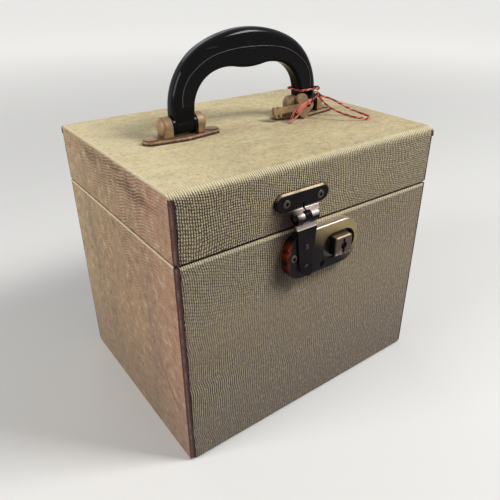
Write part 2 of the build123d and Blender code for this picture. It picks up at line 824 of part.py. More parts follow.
with BuildPart() as handle_grip:
    add(outer_slab)
    add(palm_slab)
    for centre in foot_centres:
        with BuildSketch(Plane(origin=(centre, 0, pivot_z), x_dir=(1, 0, 0), z_dir=(0, -1, 0))):
            with BuildLine():
                right_profile = Polyline(
                    (0, barrel_radius - barrel_step),
                    (barrel_half - barrel_collar - barrel_groove, barrel_radius - barrel_step),
                    (barrel_half - barrel_collar - barrel_groove, barrel_radius - barrel_groove_depth),
                    (barrel_half - barrel_collar, barrel_radius - barrel_groove_depth),
                    (barrel_half - barrel_collar, barrel_radius),
                    (barrel_half - collar_bevel, barrel_radius),
                    (barrel_half, barrel_radius - collar_bevel),
                    (barrel_half, 0),
                    (0, 0),
                )
                mirror(right_profile, about=Plane.YZ)
            make_face()
        revolve(axis=Axis((centre, 0, pivot_z), (1, 0, 0)))
    with BuildSketch(Plane.YZ):
        with Locations((0, pivot_z)):
            Circle(handle_pin_radius + running_clearance)
    extrude(amount=half_width, both=True, mode=Mode.SUBTRACT)
save(handle_grip.part, "handle_grip")

# ------------------------------------------------------------------ hasp plate on the lid

front_face = Plane.XZ.offset(half_depth)
hasp_middle_gap = hasp_middle_width + 2 * move_clearance

# The tongue runs from the plate's front corner to where it touches the roll as a tangent
tongue_start_z = hasp_plate_z - hasp_plate_height / 2
tongue_out = hasp_plate_depth - hasp_axis_offset
tongue_up = tongue_start_z - hasp_axis_z
tongue_angle = math.atan2(tongue_up, tongue_out) - math.acos(hasp_knuckle_radius / math.hypot(tongue_out, tongue_up))
touch_y = hasp_axis_y - hasp_knuckle_radius * math.cos(tongue_angle)
touch_z = hasp_axis_z + hasp_knuckle_radius * math.sin(tongue_angle)
tongue_fold = [
    (-half_depth - hasp_plate_depth, tongue_start_z + hasp_sheet),
    (-half_depth - hasp_plate_depth, tongue_start_z),
    (touch_y, touch_z),
]

with BuildPart() as hasp_tongue:
    add(sheet(tongue_fold, hasp_sheet, hasp_sheet, Side.LEFT, tongue_top_width / 2, Plane.YZ.offset(hasp_x)))
    with BuildSketch(front_face):
        with BuildLine():
            shoulder = Polyline(
                (hasp_x, tongue_start_z + 2 * hasp_sheet),
                (hasp_x + tongue_top_width / 2, tongue_start_z + 2 * hasp_sheet),
                (hasp_x + tongue_top_width / 2, tongue_start_z),
            )
            flare = RadiusArc(shoulder @ 1, (hasp_x + hasp_roll_width / 2, hasp_axis_z), -tongue_flare_radius)
            edge = Line(flare @ 1, (hasp_x, hasp_axis_z))
            mirror([shoulder, flare, edge], about=Plane.YZ.offset(hasp_x))
        make_face()
    extrude(amount=2 * hasp_axis_offset, mode=Mode.INTERSECT)

with BuildPart() as hasp_plate:
    with BuildSketch(front_face):
        with Locations((hasp_x, hasp_plate_z)):
            SlotOverall(hasp_plate_length, hasp_plate_height)
    extrude(amount=hasp_plate_depth)
    chamfer(hasp_plate.faces().sort_by(Axis.Y)[0].edges(), length=hasp_plate_bevel)
    with BuildSketch(front_face):
        with Locations((hasp_x, hasp_plate_z)):
            SlotOverall(hasp_plate_length - 2 * hasp_plate_bevel, hasp_plate_height - 2 * hasp_plate_bevel)
    extrude(amount=hasp_plate_depth - hasp_sheet, mode=Mode.SUBTRACT)
    add(hasp_tongue.part)
    for hand in (-1, 1):
        knuckle_length = (hasp_roll_width - hasp_middle_gap) / 2
        knuckle_middle = hasp_x + hand * (hasp_middle_gap + knuckle_length) / 2
        with BuildSketch(Plane.YZ.offset(knuckle_middle)):
            with Locations((hasp_axis_y, hasp_axis_z)):
                Circle(hasp_knuckle_radius)
        extrude(amount=knuckle_length / 2, both=True)
    with BuildSketch(Plane.YZ.offset(hasp_x)):
        with Locations((hasp_axis_y, hasp_axis_z)):
            Circle(hasp_knuckle_radius + move_clearance)
    extrude(amount=hasp_middle_gap / 2, both=True, mode=Mode.SUBTRACT)
    with BuildSketch(Plane.YZ.offset(hasp_x)):
        with Locations((hasp_axis_y, hasp_axis_z)):
            Circle(hasp_pin_radius + running_clearance)
    extrude(amount=hasp_roll_width, both=True, mode=Mode.SUBTRACT)
    with BuildSketch(front_face):
        with Locations((hasp_x, tongue_start_z + tongue_slot_rise)):
            SlotOverall(tongue_slot_length, tongue_slot_width, rotation=90)
    extrude(amount=2 * hasp_plate_depth, mode=Mode.SUBTRACT)
    with Locations(*front_planes(hasp_rivet_places, out=hasp_plate_depth)):
        Hole(eyelet_shank_radius + bore_clearance, depth=2 * hasp_plate_depth)
save(hasp_plate.part, "hasp_plate")

with BuildPart() as hasp_plate_eyelets:
    with Locations(*front_planes(hasp_rivet_places, out=hasp_plate_depth)):
        add(eyelet(hasp_plate_depth + wall_depth))
save(hasp_plate_eyelets.part, "hasp_plate_eyelets")

with BuildPart() as hasp_pin:
    with BuildSketch(Plane.YZ.offset(hasp_x)):
        with Locations((hasp_axis_y, hasp_axis_z)):
            Circle(hasp_pin_radius)
    extrude(amount=hasp_roll_width / 2 + handle_pin_proud, both=True)
save(hasp_pin.part, "hasp_pin")

# ------------------------------------------------------------------ hasp leaf and its staple

leaf_front_y = -half_depth - leaf_front_offset
leaf_fold = [
    (hasp_axis_y - leaf_root_step, hasp_axis_z - hasp_knuckle_radius + hasp_sheet / 2),
    (leaf_front_y, hasp_axis_z - leaf_bend_drop),
    (leaf_front_y, lip_z),
    (-half_depth - lip_offset, leaf_tip_z),
]
leaf_shoulder_z = hasp_axis_z - hasp_knuckle_radius - 2 * move_clearance
staple_legs = [staple_bottom_z + staple_wire / 2, staple_top_z - staple_wire / 2]

with BuildPart() as hasp_leaf:
    add(sheet(leaf_fold, [2 * hasp_sheet, leaf_lip_radius], hasp_sheet, Side.LEFT, leaf_width / 2, Plane.YZ.offset(hasp_x)))
    with BuildSketch(front_face):
        with BuildLine():
            root = Polyline(
                (hasp_x, hasp_axis_z),
                (hasp_x + hasp_middle_width / 2, hasp_axis_z),
                (hasp_x + hasp_middle_width / 2, leaf_shoulder_z),
                (hasp_x + leaf_width / 2, leaf_shoulder_z),
                (hasp_x + leaf_tip_width / 2, leaf_tip_z + leaf_tip_width / 2),
            )
            tip = TangentArc(root @ 1, (hasp_x, leaf_tip_z), tangent=(0, -1, 0))
            mirror([root, tip], about=Plane.YZ.offset(hasp_x))
        make_face()
    extrude(amount=2 * lip_offset, mode=Mode.INTERSECT)
    with BuildSketch(Plane.YZ.offset(hasp_x)):
        with Locations((hasp_axis_y, hasp_axis_z)):
            Circle(hasp_knuckle_radius)
    extrude(amount=hasp_middle_width / 2, both=True)
    with BuildSketch(Plane.YZ.offset(hasp_x)):
        with Locations((hasp_axis_y, hasp_axis_z)):
            Circle(hasp_pin_radius + running_clearance)
    extrude(amount=hasp_middle_width, both=True, mode=Mode.SUBTRACT)
    with BuildSketch(front_face):
        with Locations(*[(hasp_x, z) for z in staple_legs]):
            Rectangle(staple_width + bore_clearance, staple_wire + bore_clearance)
    extrude(amount=2 * lip_offset, mode=Mode.SUBTRACT)
save(hasp_leaf.part, "hasp_leaf")

with BuildPart() as hasp_staple:
    with BuildSketch(Plane.YZ.offset(hasp_x)):
        with Locations((-half_depth - staple_back_offset, staple_bottom_z)):
            Rectangle(
                leaf_front_offset + staple_proud - staple_back_offset,
                staple_top_z - staple_bottom_z,
                align=(Align.MAX, Align.MIN),
            )
        with Locations((-half_depth - staple_back_offset - staple_wire, staple_bottom_z + staple_wire)):
            Rectangle(
                leaf_front_offset + staple_proud,
                staple_top_z - staple_bottom_z - 2 * staple_wire,
                align=(Align.MAX, Align.MIN),
                mode=Mode.SUBTRACT,
            )
    extrude(amount=staple_width / 2, both=True)
    fillet(hasp_staple.faces().sort_by(Axis.Y)[-1].edges().filter_by(Axis.X), radius=staple_wire / 2)
save(hasp_staple.part, "hasp_staple")

# ------------------------------------------------------------------ lock case on the base

case_inner_length = case_length - 2 * case_wall
case_inner_height = case_height - 2 * case_wall
case_inner_radius = case_corner_radius - case_wall

with BuildPart() as lock_case:
    with BuildSketch(front_face):
        with Locations((case_x, case_z)):
            RectangleRounded(case_length, case_height, case_corner_radius)
    extrude(amount=case_depth)
    fillet(lock_case.faces().sort_by(Axis.Y)[0].edges(), radius=case_edge_radius)
    with BuildSketch(front_face):
        with Locations((case_x, case_z)):
            RectangleRounded(case_inner_length, case_inner_height, case_inner_radius)
    extrude(amount=case_depth - case_wall, mode=Mode.SUBTRACT)
    with BuildSketch(front_face):
        with Locations((case_window_x, case_window_z)):
            SlotOverall(case_window_length, case_window_height)
        with Locations((hasp_x, staple_bottom_z - 2 * move_clearance)):
            Rectangle(
                staple_width + 2 * move_clearance,
                case_height,
                align=(Align.CENTER, Align.MIN),
            )
    extrude(amount=2 * case_depth, mode=Mode.SUBTRACT)
    with Locations(*front_planes(case_rivet_places, out=case_depth)):
        Hole(eyelet_shank_radius + bore_clearance, depth=case_depth)
    with Locations(*front_planes(case_pin_places, out=case_depth)):
        Hole(small_rivet_radius + bore_clearance, depth=case_depth)
save(lock_case.part, "lock_case")

with BuildPart() as lock_backplate:
    with BuildSketch(front_face):
        with Locations((case_x, case_z)):
            RectangleRounded(
                case_inner_length - 2 * face_clearance,
                case_inner_height - 2 * face_clearance,
                case_inner_radius - face_clearance,
            )
    extrude(amount=case_wall)
    with Locations(*front_planes(case_rivet_places, out=case_wall)):
        Hole(eyelet_shank_radius + bore_clearance, depth=2 * case_wall)
    with Locations(*front_planes(case_pin_places, out=case_wall)):
        Hole(small_rivet_radius + bore_clearance, depth=2 * case_wall)
save(lock_backplate.part, "lock_backplate")

with BuildPart() as lock_case_eyelet:
    with Locations(*front_planes(case_rivet_places, out=case_depth)):
        add(eyelet(case_depth + wall_depth))
save(lock_case_eyelet.part, "lock_case_eyelet")

with BuildPart() as lock_case_rivet:
    with Locations(*front_planes(case_pin_places, out=case_depth)):
        add(
            rivet(
                case_depth + wall_depth,
                small_rivet_head_radius,
                small_rivet_head_height,
                small_rivet_radius,
                rivet_tail_radius,
                rivet_tail_height,
            )
        )
save(lock_case_rivet.part, "lock_case_rivet")

# ------------------------------------------------------------------ sliding button, bolt, cam and spring

slider_front = case_depth - case_wall - bore_clearance
slider_back = slider_front - slider_thickness
button_front = case_depth + button_depth
slider_plane = front_face.offset(slider_back)
bolt_plane = front_face.offset(slider_back - bolt_thickness)

with BuildPart() as lock_button:
    with BuildSketch(slider_plane) as slider_outline:
        with Locations(((slider_left + slider_right) / 2, case_window_z)):
            Rectangle(slider_right - slider_left, slider_height)
        fillet(slider_outline.vertices().group_by(Axis.X)[-1], radius=slider_corner_radius)
        fillet(slider_outline.vertices().group_by(Axis.X)[0], radius=button_corner_radius)
    extrude(amount=slider_thickness)
    with BuildSketch(front_face.offset(slider_front)):
        with Locations((button_x, button_z)):
            RectangleRounded(button_width, button_height, button_corner_radius)
    extrude(amount=button_front - slider_front)
    chamfer(lock_button.faces().sort_by(Axis.Y)[0].edges(), length=button_bevel)
    with BuildSketch(front_face.offset(slider_front)):
        with Locations((button_x, button_z)):
            RectangleRounded(
                button_width - 2 * button_wall,
                button_height - 2 * button_wall,
                button_corner_radius - button_wall / 2,
            )
    extrude(amount=button_front - slider_front - button_wall, mode=Mode.SUBTRACT)
    with BuildSketch(front_face.offset(button_front - 2 * button_wall)):
        with Locations((button_x, button_z)):
            Circle(keyhole_radius)
            SlotOverall(keyhole_length, keyhole_width, rotation=90)
    extrude(amount=2 * button_wall, mode=Mode.SUBTRACT)
    with BuildSketch(front_face.offset(slider_front)):
        with Locations((button_x, button_z)):
            Circle(2 * cam_post_radius)
    extrude(amount=cam_seat - slider_front)
    with BuildSketch(front_face.offset(slider_front)):
        with Locations((button_x, button_z)):
            Circle(cam_post_radius)
    extrude(amount=cam_seat + cam_thickness / 2 - slider_front)
save(lock_button.part, "lock_button")

with BuildPart() as lock_bolt:
    with BuildSketch(bolt_plane):
        with Locations(((bolt_tip_x + bolt_tail_x) / 2, bolt_z)):
            Rectangle(bolt_tail_x - bolt_tip_x, bolt_height)
        with Locations((spring_lug_x, bolt_z)):
            Rectangle(bolt_thickness, spring_drop + spring_radius, align=(Align.MAX, Align.MAX))
    extrude(amount=bolt_thickness)
    tip_edges = lock_bolt.faces().sort_by(Axis.X)[0].edges().filter_by(Axis.Z)
    chamfer(tip_edges, length=bolt_thickness / 3)
    with BuildSketch(bolt_plane):
        with Locations((spring_lug_x, bolt_z - bolt_height / 2)):
            Rectangle(
                bolt_thickness,
                spring_drop + spring_radius - bolt_height / 2,
                align=(Align.MAX, Align.MAX),
            )
    extrude(amount=-bolt_thickness)
save(lock_bolt.part, "lock_bolt")

with BuildPart() as lock_cam:
    with BuildSketch(front_face.offset(cam_seat + face_clearance)):
        with Locations((button_x, button_z)):
            Circle(cam_radius)
    extrude(amount=cam_thickness)
    with BuildSketch(front_face.offset(cam_seat + face_clearance)):
        with Locations((button_x, button_z)):
            Rectangle(cam_tongue_width, cam_tongue_reach, align=(Align.CENTER, Align.MAX))
    extrude(amount=cam_thickness / 2)
    with BuildSketch(front_face.offset(cam_seat + face_clearance)):
        with Locations((button_x, button_z)):
            Circle(cam_post_radius + running_clearance)
    extrude(amount=cam_thickness / 2 + face_clearance, mode=Mode.SUBTRACT)
    with BuildSketch(front_face.offset(cam_seat + face_clearance + cam_thickness)):
        with Locations((button_x, button_z)):
            Rectangle(keyhole_width, 2 * cam_radius)
    extrude(amount=-cam_thickness / 3, mode=Mode.SUBTRACT)
save(lock_cam.part, "lock_cam")

spring_middle = slider_back - spring_radius - bore_clearance
spring_z = bolt_z - spring_drop
spring_length = spring_end_x - spring_lug_x
with BuildPart() as lock_spring:
    with BuildLine() as coil:
        Helix(
            pitch=(spring_length - 2 * spring_wire_radius) / spring_turns,
            height=spring_length - 2 * spring_wire_radius,
            radius=spring_radius - spring_wire_radius,
            center=(spring_lug_x + spring_wire_radius, -half_depth - spring_middle, spring_z),
            direction=(1, 0, 0),
        )
    with BuildSketch(Plane(origin=coil.line @ 0, z_dir=coil.line % 0)):
        Circle(spring_wire_radius)
    sweep()
save(lock_spring.part, "lock_spring")

# ------------------------------------------------------------------ keys

key_bow_centre = Vector(0, 0, box_height) + Vector(*key_bow_place)
key_tip = Vector(0, 0, box_height) + Vector(*key_tip_place)
key_direction = (key_tip - key_bow_centre).normalized()
key_plane = Plane(origin=key_bow_centre, x_dir=key_direction, z_dir=key_direction.cross(Vector(*key_lean)))
key_hole_centre = key_plane.from_local_coords(Vector(-key_heel_reach, 0, 0))


def key(turn, setback):
    """A flat key turned about its bow hole; setback moves it along the hole towards the box."""
    hole_plane = Plane(origin=key_hole_centre, x_dir=key_plane.x_dir, z_dir=key_plane.z_dir)
    with BuildPart() as one:
        with BuildSketch(hole_plane.offset(setback).rotated((0, 0, turn))) as outline:
            Circle(key_lobe_radius)
            with Locations((key_heel_reach, key_lobe_reach), (key_heel_reach, -key_lobe_reach)):
                Circle(key_lobe_radius)
            with Locations((key_heel_reach, 0)):
                Rectangle(key_blade_length, key_blade_width, align=(Align.MIN, Align.CENTER))
                Circle(key_lobe_radius)
            with Locations(*[(key_heel_reach + key_blade_length - r, -key_blade_width / 2) for r in key_bit_places]):
                Rectangle(key_bit_width, key_bit_drop, align=(Align.CENTER, Align.MAX))
            with Locations(*[(key_heel_reach + key_blade_length - r, key_blade_width / 2) for r in key_bit_places]):
                Rectangle(key_bit_width, key_bit_rise, align=(Align.CENTER, Align.MIN))
            Circle(key_hole_radius, mode=Mode.SUBTRACT)
        extrude(amount=key_thickness / 2, both=True)
    return one.part


save(key(0, 0), "key_front")
save(key(-second_key_turn, key_thickness + second_key_gap), "key_back")

# ------------------------------------------------------------------ twine


def cord(route, tight_radius=None):
    """A round cord along a route of straight runs joined by tangent arcs."""
    points = [Vector(*point) for point in route]
    radii = []
    for before, corner, after in zip(points, points[1:], points[2:]):
        shorter = min((corner - before).length, (after - corner).length)
        half_turn = math.radians((corner - before).get_angle(after - corner)) / 2
        radii.append(tight_radius or cord_arc_share * shorter / math.tan(half_turn))
    with BuildPart() as tube:
        with BuildLine() as path:
            FilletPolyline(*points, radius=radii)
        with BuildSketch(Plane(origin=path.line @ 0, z_dir=path.line % 0)):
            Circle(twine_diameter / 2)
        sweep()
    length = path.wires()[0].length
    straight_volume = math.pi * twine_diameter**2 / 4 * length
    print("cord length", round(length, 1), "radii", [round(r, 1) for r in radii])
    print("  volume over section times length", round(tube.part.volume / straight_volume, 4))
    return tube.part


def knot(centre, radius):
    """A small tight knot."""
    with BuildPart() as ball:
        with Locations(centre):
            Sphere(radius)
    return ball.part


# A ring tied tightly around the right leg of the handle
ring_gap = move_clearance + twine_diameter / 2
ring_plane = Plane.XY.offset(pivot_z + twine_ring_height)
with BuildPart() as twine_ring:
    with BuildLine(ring_plane) as ring_path:
        FilletPolyline(
            (leg_inner - leg_splay - ring_gap, -grip_depth / 2 - ring_gap),
            (leg_outer + ring_gap, -grip_depth / 2 - ring_gap),
            (leg_outer + ring_gap, grip_depth / 2 + ring_gap),
            (leg_inner - leg_splay - ring_gap, grip_depth / 2 + ring_gap),
            close=True,
            radius=grip_outer_radius,
        )
    with BuildSketch(Plane(origin=ring_path.line @ 0, z_dir=ring_path.line % 0)):
        Circle(twine_diameter / 2)
    sweep()
save(twine_ring.part, "twine_ring")
ring_knot_centre = (
    leg_outer + move_clearance,
    -grip_depth / 2 - move_clearance,
    pivot_z + twine_ring_height,
)
save(knot(ring_knot_centre, ring_knot_radius), "twine_ring_knot")

# The long loop runs from the knot over the lid top to the right and back
loop_route = [
    (64.5, -12.0, 225.5),
    (71.2, -16.9, 223.5),
    (77.4, -21.6, 219.2),
    (84.3, -28.4, 214.5),
    (90.4, -36.8, 211.6),
    (91.0, -43.6, 210.7),
    (84.8, -46.2, 210.7),
    (76.5, -42.4, 211.8),
    (70.3, -35.9, 213.9),
    (64.9, -28.6, 216.8),
    (61.3, -20.9, 221.0),
    (61.7, -14.0, 225.0),
]
save(cord(loop_route), "twine_loop")
save(knot(twine_knot_centre, twine_knot_radius), "twine_knot")

# The tie runs from the knot to the bow knot and then through the holes of both keys
hole_axis = key_plane.z_dir
tie_route = [
    (62.0, -12.0, 226.0),
    (56.5, -15.2, 225.8),
    (52.0, -16.5, 224.2),
    key_hole_centre - hole_axis * tie_stand_off,
    key_hole_centre + hole_axis * tie_reach,
]
save(cord(tie_route, tight_radius=twine_diameter), "twine_tie")
save(knot(bow_knot_centre, bow_knot_radius), "twine_bow_knot")

# Three frayed tails hang from the bow knot over the blades
tail_routes = [
    [(48.6, -17.1, 224.6), (45.2, -17.0, 223.6), (39.0, -16.2, 220.6), (33.6, -15.6, 216.9), (32.2, -15.5, 212.4)],
    [(48.2, -18.6, 223.4), (42.6, -18.4, 221.6), (39.0, -18.3, 217.6), (35.1, -18.0, 213.4), (29.4, -17.8, 210.5)],
    [(48.6, -18.9, 225.4), (44.2, -19.3, 224.6), (39.6, -19.0, 221.6), (35.4, -18.6, 217.6)],
]
with BuildPart() as twine_tails:
    for route in tail_routes:
        add(cord(route))
save(twine_tails.part, "twine_tails")
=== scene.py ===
"""Coverings, lining, fittings, moulded handle, keys and twine of a sewing machine attachment box."""

import json
import math
import random

import bmesh
import bpy
from bpy.props import FloatProperty, FloatVectorProperty, IntProperty, PointerProperty
from mathutils import Matrix, Vector


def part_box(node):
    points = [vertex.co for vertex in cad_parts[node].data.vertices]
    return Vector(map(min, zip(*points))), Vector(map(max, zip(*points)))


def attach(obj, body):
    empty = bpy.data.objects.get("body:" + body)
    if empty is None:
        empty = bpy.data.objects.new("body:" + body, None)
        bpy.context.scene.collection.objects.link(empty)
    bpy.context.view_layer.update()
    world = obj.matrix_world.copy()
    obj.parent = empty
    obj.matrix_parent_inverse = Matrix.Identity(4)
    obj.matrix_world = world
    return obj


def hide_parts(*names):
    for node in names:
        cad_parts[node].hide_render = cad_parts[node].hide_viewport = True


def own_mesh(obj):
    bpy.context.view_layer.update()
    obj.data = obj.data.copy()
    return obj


bl_info = {
    "name": "Attachment Box",
    "version": (1, 0, 0),
    "blender": (4, 5, 0),
    "location": "View3D > Sidebar > Box",
    "description": "Dresses a sewing machine attachment box with its coverings, fittings and twine",
    "category": "Object",
}

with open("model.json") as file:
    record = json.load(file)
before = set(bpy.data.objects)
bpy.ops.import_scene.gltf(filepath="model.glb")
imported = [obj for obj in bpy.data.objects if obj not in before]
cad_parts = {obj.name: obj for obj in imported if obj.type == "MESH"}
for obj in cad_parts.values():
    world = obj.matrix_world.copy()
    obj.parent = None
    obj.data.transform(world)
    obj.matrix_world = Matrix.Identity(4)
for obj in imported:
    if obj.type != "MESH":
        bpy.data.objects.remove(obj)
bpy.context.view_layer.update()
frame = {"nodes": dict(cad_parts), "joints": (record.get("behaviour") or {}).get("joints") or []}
MM = 0.001

# The box's faces and edges: x is the width, y the depth with the front at -y, z the height
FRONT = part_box("base_front_covering")[0][1]
DEEP = -FRONT
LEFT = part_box("base_left_covering")[0][0]
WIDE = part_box("base_right_covering")[1][0]
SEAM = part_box("base_front_covering")[1][2]
LID_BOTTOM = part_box("lid_band_covering")[0][2]
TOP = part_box("lid_band_covering")[1][2]
STRIP_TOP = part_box("lid_corner_strips")[1][2]
STRIP_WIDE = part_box("base_front_covering")[0][0] + WIDE

# The handle's pins: how far from a foot's middle its lugs end, and the height of the axis
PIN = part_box("handle_pin_left")
LUG_REACH = (PIN[1][0] - PIN[0][0]) / 2 - 0.5 * MM
PIVOT = (PIN[0][2] + PIN[1][2]) / 2


def corners(node):
    """A CAD node's lowest and highest corner."""
    return [Vector(corner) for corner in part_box(node)]


def colour_of(red, green, blue):
    """A paint chip's 0 to 255 values as a linear colour."""
    shares = (red / 255, green / 255, blue / 255)
    return tuple(c / 12.92 if c <= 0.04045 else ((c + 0.055) / 1.055) ** 2.4 for c in shares)


def colour_property(name, description, *chip):
    return FloatVectorProperty(
        name=name, description=description, subtype="COLOR", size=3, min=0, max=1, default=colour_of(*chip)
    )


def length_property(name, description, millimetres):
    return FloatProperty(
        name=name, description=description, subtype="DISTANCE", unit="LENGTH", min=0, default=millimetres * MM
    )


def strength_property(name, description, strength):
    return FloatProperty(name=name, description=description, min=0, default=strength)


def vector_property(name, description, *vector):
    return FloatVectorProperty(name=name, description=description, subtype="XYZ", default=vector)


# ---------------------------------------------------------------- settings


class CoveringSettings(bpy.types.PropertyGroup):
    """Colours and grain of the coverings, strips and lining."""

    khaki: colour_property("Khaki", "Covering of the lid's front and back", 194, 175, 137)
    dull: colour_property("Dull", "Covering of the base's front and back", 152, 135, 110)
    low: colour_property("Low", "The coverings near the floor", 124, 111, 102)
    cream: colour_property("Cream", "Faded covering on the lid's top", 200, 184, 141)
    tan: colour_property("Tan", "Covering of the two sides", 174, 144, 110)
    pink: colour_property("Pink", "Patches of the sides that have gone pink", 186, 142, 116)
    stain: colour_property("Stain", "Broad stains", 142, 124, 100)
    # In the grain's creases this colour is dirt and painted shade.
    crease: colour_property("Crease", "Dirt between the scales of the grain", 52, 41, 31)
    soot: colour_property("Soot", "Red-brown dirt on the sides", 82, 54, 44)
    # On the grain's crowns and the lid's front roll this colour is also painted highlight.
    worn: colour_property("Worn", "Rubbed crowns and edges of the covering", 226, 214, 176)
    bare: colour_property("Bare", "Spots rubbed through to the cloth", 214, 208, 198)
    strip: colour_property("Strip", "Narrow strip down each corner", 128, 82, 72)
    # Also laid on as painted shade in the seams and as the painted shadow beside the latch.
    groove: colour_property("Groove", "Stained board in the grooves beside the strips", 44, 18, 18)
    lining: colour_property("Lining", "Paper lining inside", 156, 132, 98)
    column: length_property("Grain column", "Distance between two columns of scales", 1.68)
    row: length_property("Grain row", "Distance between two scales in a column", 1.62)
    coarser: strength_property("Coarser", "How much larger the base's scales are than the lid's", 1.16)
    ripple: length_property("Ripple", "Distance between two ripples on the sides", 2.2)


class FittingSettings(bpy.types.PropertyGroup):
    """Colours of the metal fittings and the handle."""

    bronze: colour_property("Bronze", "Cast feet of the handle", 134, 106, 72)
    umber: colour_property("Umber", "Brown dirt on the casting", 84, 50, 32)
    steel: colour_property("Steel", "Pins, rivets and hinges", 118, 106, 90)
    latch: colour_property("Latch", "Darkened plating of the hasp and lock", 20, 16, 20)
    smoked: colour_property("Smoked", "Plating that the hand has dulled", 36, 28, 25)
    # Also the painted highlight along the hasp plate's bevel.
    rubbed: colour_property("Rubbed", "Plating rubbed by the hand", 104, 92, 76)
    # Mostly laid on as painted highlight: the lock case's top, the hasp's flare and the leaf's bend.
    silver: colour_property("Silver", "Bare metal where the leaf bends", 206, 190, 180)
    # Also the painted light on the lock case's upper right.
    bright: colour_property("Bright", "Plating that is still bright", 168, 150, 108)
    rust: colour_property("Rust", "Rust", 150, 56, 26)
    # Also the painted shade low on the rivet heads' sides.
    crust: colour_property("Crust", "Red-brown dirt", 58, 30, 22)
    # Also the painted shade under the hasp's pin and on the button's left wall and inside.
    tarnish: colour_property("Tarnish", "Purple-black tarnish", 13, 10, 16)
    brass: colour_property("Brass", "Keys and rubbed casting", 182, 154, 116)
    bakelite: colour_property("Moulding", "Black moulded handle", 9, 8, 10)
    blackened: strength_property("Blackened", "How metallic the blackened plating still looks", 0.25)


class TwineSettings(bpy.types.PropertyGroup):
    """The red twine."""

    red: colour_property("Red", "Dyed thread", 178, 50, 54)
    dark: colour_property("Dark", "Dark thread laid in with the red", 62, 20, 22)
    pale: colour_property("Pale", "Faded thread", 236, 146, 130)
    strands: IntProperty(name="Strands", description="Threads laid into the twine", default=3, min=3, max=4)
    lay: length_property("Lay", "Length of one full turn of the strands", 6.0)


class StageSettings(bpy.types.PropertyGroup):
    """Floor, lights and lens."""

    lens: FloatProperty(name="Lens", description="Focal length in millimetres", default=37.24, min=1)
    shift: FloatVectorProperty(
        name="Shift", description="Camera shift across and up", size=2, default=(-0.0236, -0.0138)
    )
    eye: vector_property("Eye", "Place of the camera", -0.22807, -0.32259, 0.31965)
    view: vector_property("View", "Direction the camera looks in", 0.529, 0.702, -0.477)
    upward: vector_property("Upward", "Direction that stands upright in the picture", 0.284, 0.383, 0.879)
    floor: colour_property("Floor", "Plain floor", 226, 225, 222)
    bounce: colour_property("Bounce", "Floor as the object's own light meets it", 142, 140, 148)
    glow: strength_property("Glow", "Share of its colour that the far floor shows", 0.8)
    sky: strength_property("Sky", "Strength of the even light all round", 0.19)
    wall: strength_property("Wall", "Strength of the pale background", 0.86)
    key: strength_property("Key", "Watts of the main light, high on the right", 18.0)
    side: strength_property("Side", "Watts of the light on the left", 12.5)
    rear: strength_property("Rear", "Watts of the light at the back", 2.0)


def settings(context, group):
    """The scene's settings of one group."""
    return getattr(context.scene, "box_" + group)


# ---------------------------------------------------------------- shaders


class Value:
    """A shader socket that takes part in a Python expression."""

    def __init__(self, finish, socket):
        self.finish = finish
        self.socket = socket

    def math(self, operation, *others):
        return self.finish.value("ShaderNodeMath", {"operation": operation}, dict(enumerate((self, *others))))

    def __add__(self, other):
        return self.math("ADD", other)

    def __sub__(self, other):
        return self.math("SUBTRACT", other)

    def __mul__(self, other):
        return self.math("MULTIPLY", other)

    def __truediv__(self, other):
        return self.math("DIVIDE", other)

    def __rsub__(self, other):
        return self.finish.value("ShaderNodeMath", {"operation": "SUBTRACT"}, {0: other, 1: self})

    __radd__ = __add__
    __rmul__ = __mul__

    def clamp(self):
        return self.finish.value("ShaderNodeMath", {"operation": "ADD", "use_clamp": True}, {0: self, 1: 0.0})

    def step(self, low, high):
        """0 below low and 1 above high, with a smooth rise between."""
        return self.finish.value(
            "ShaderNodeMapRange",
            {"interpolation_type": "SMOOTHSTEP"},
            {"Value": self, "From Min": low, "From Max": high},
        )

    def band(self, low, high, soft):
        """1 between low and high, fading to 0 over soft at each end."""
        return self.step(low - soft, low + soft) * (1 - self.step(high - soft, high + soft))

    def coat(self, colour, share):
        """This colour with a share of another laid over it."""
        return self.finish.blend(share, self, colour)


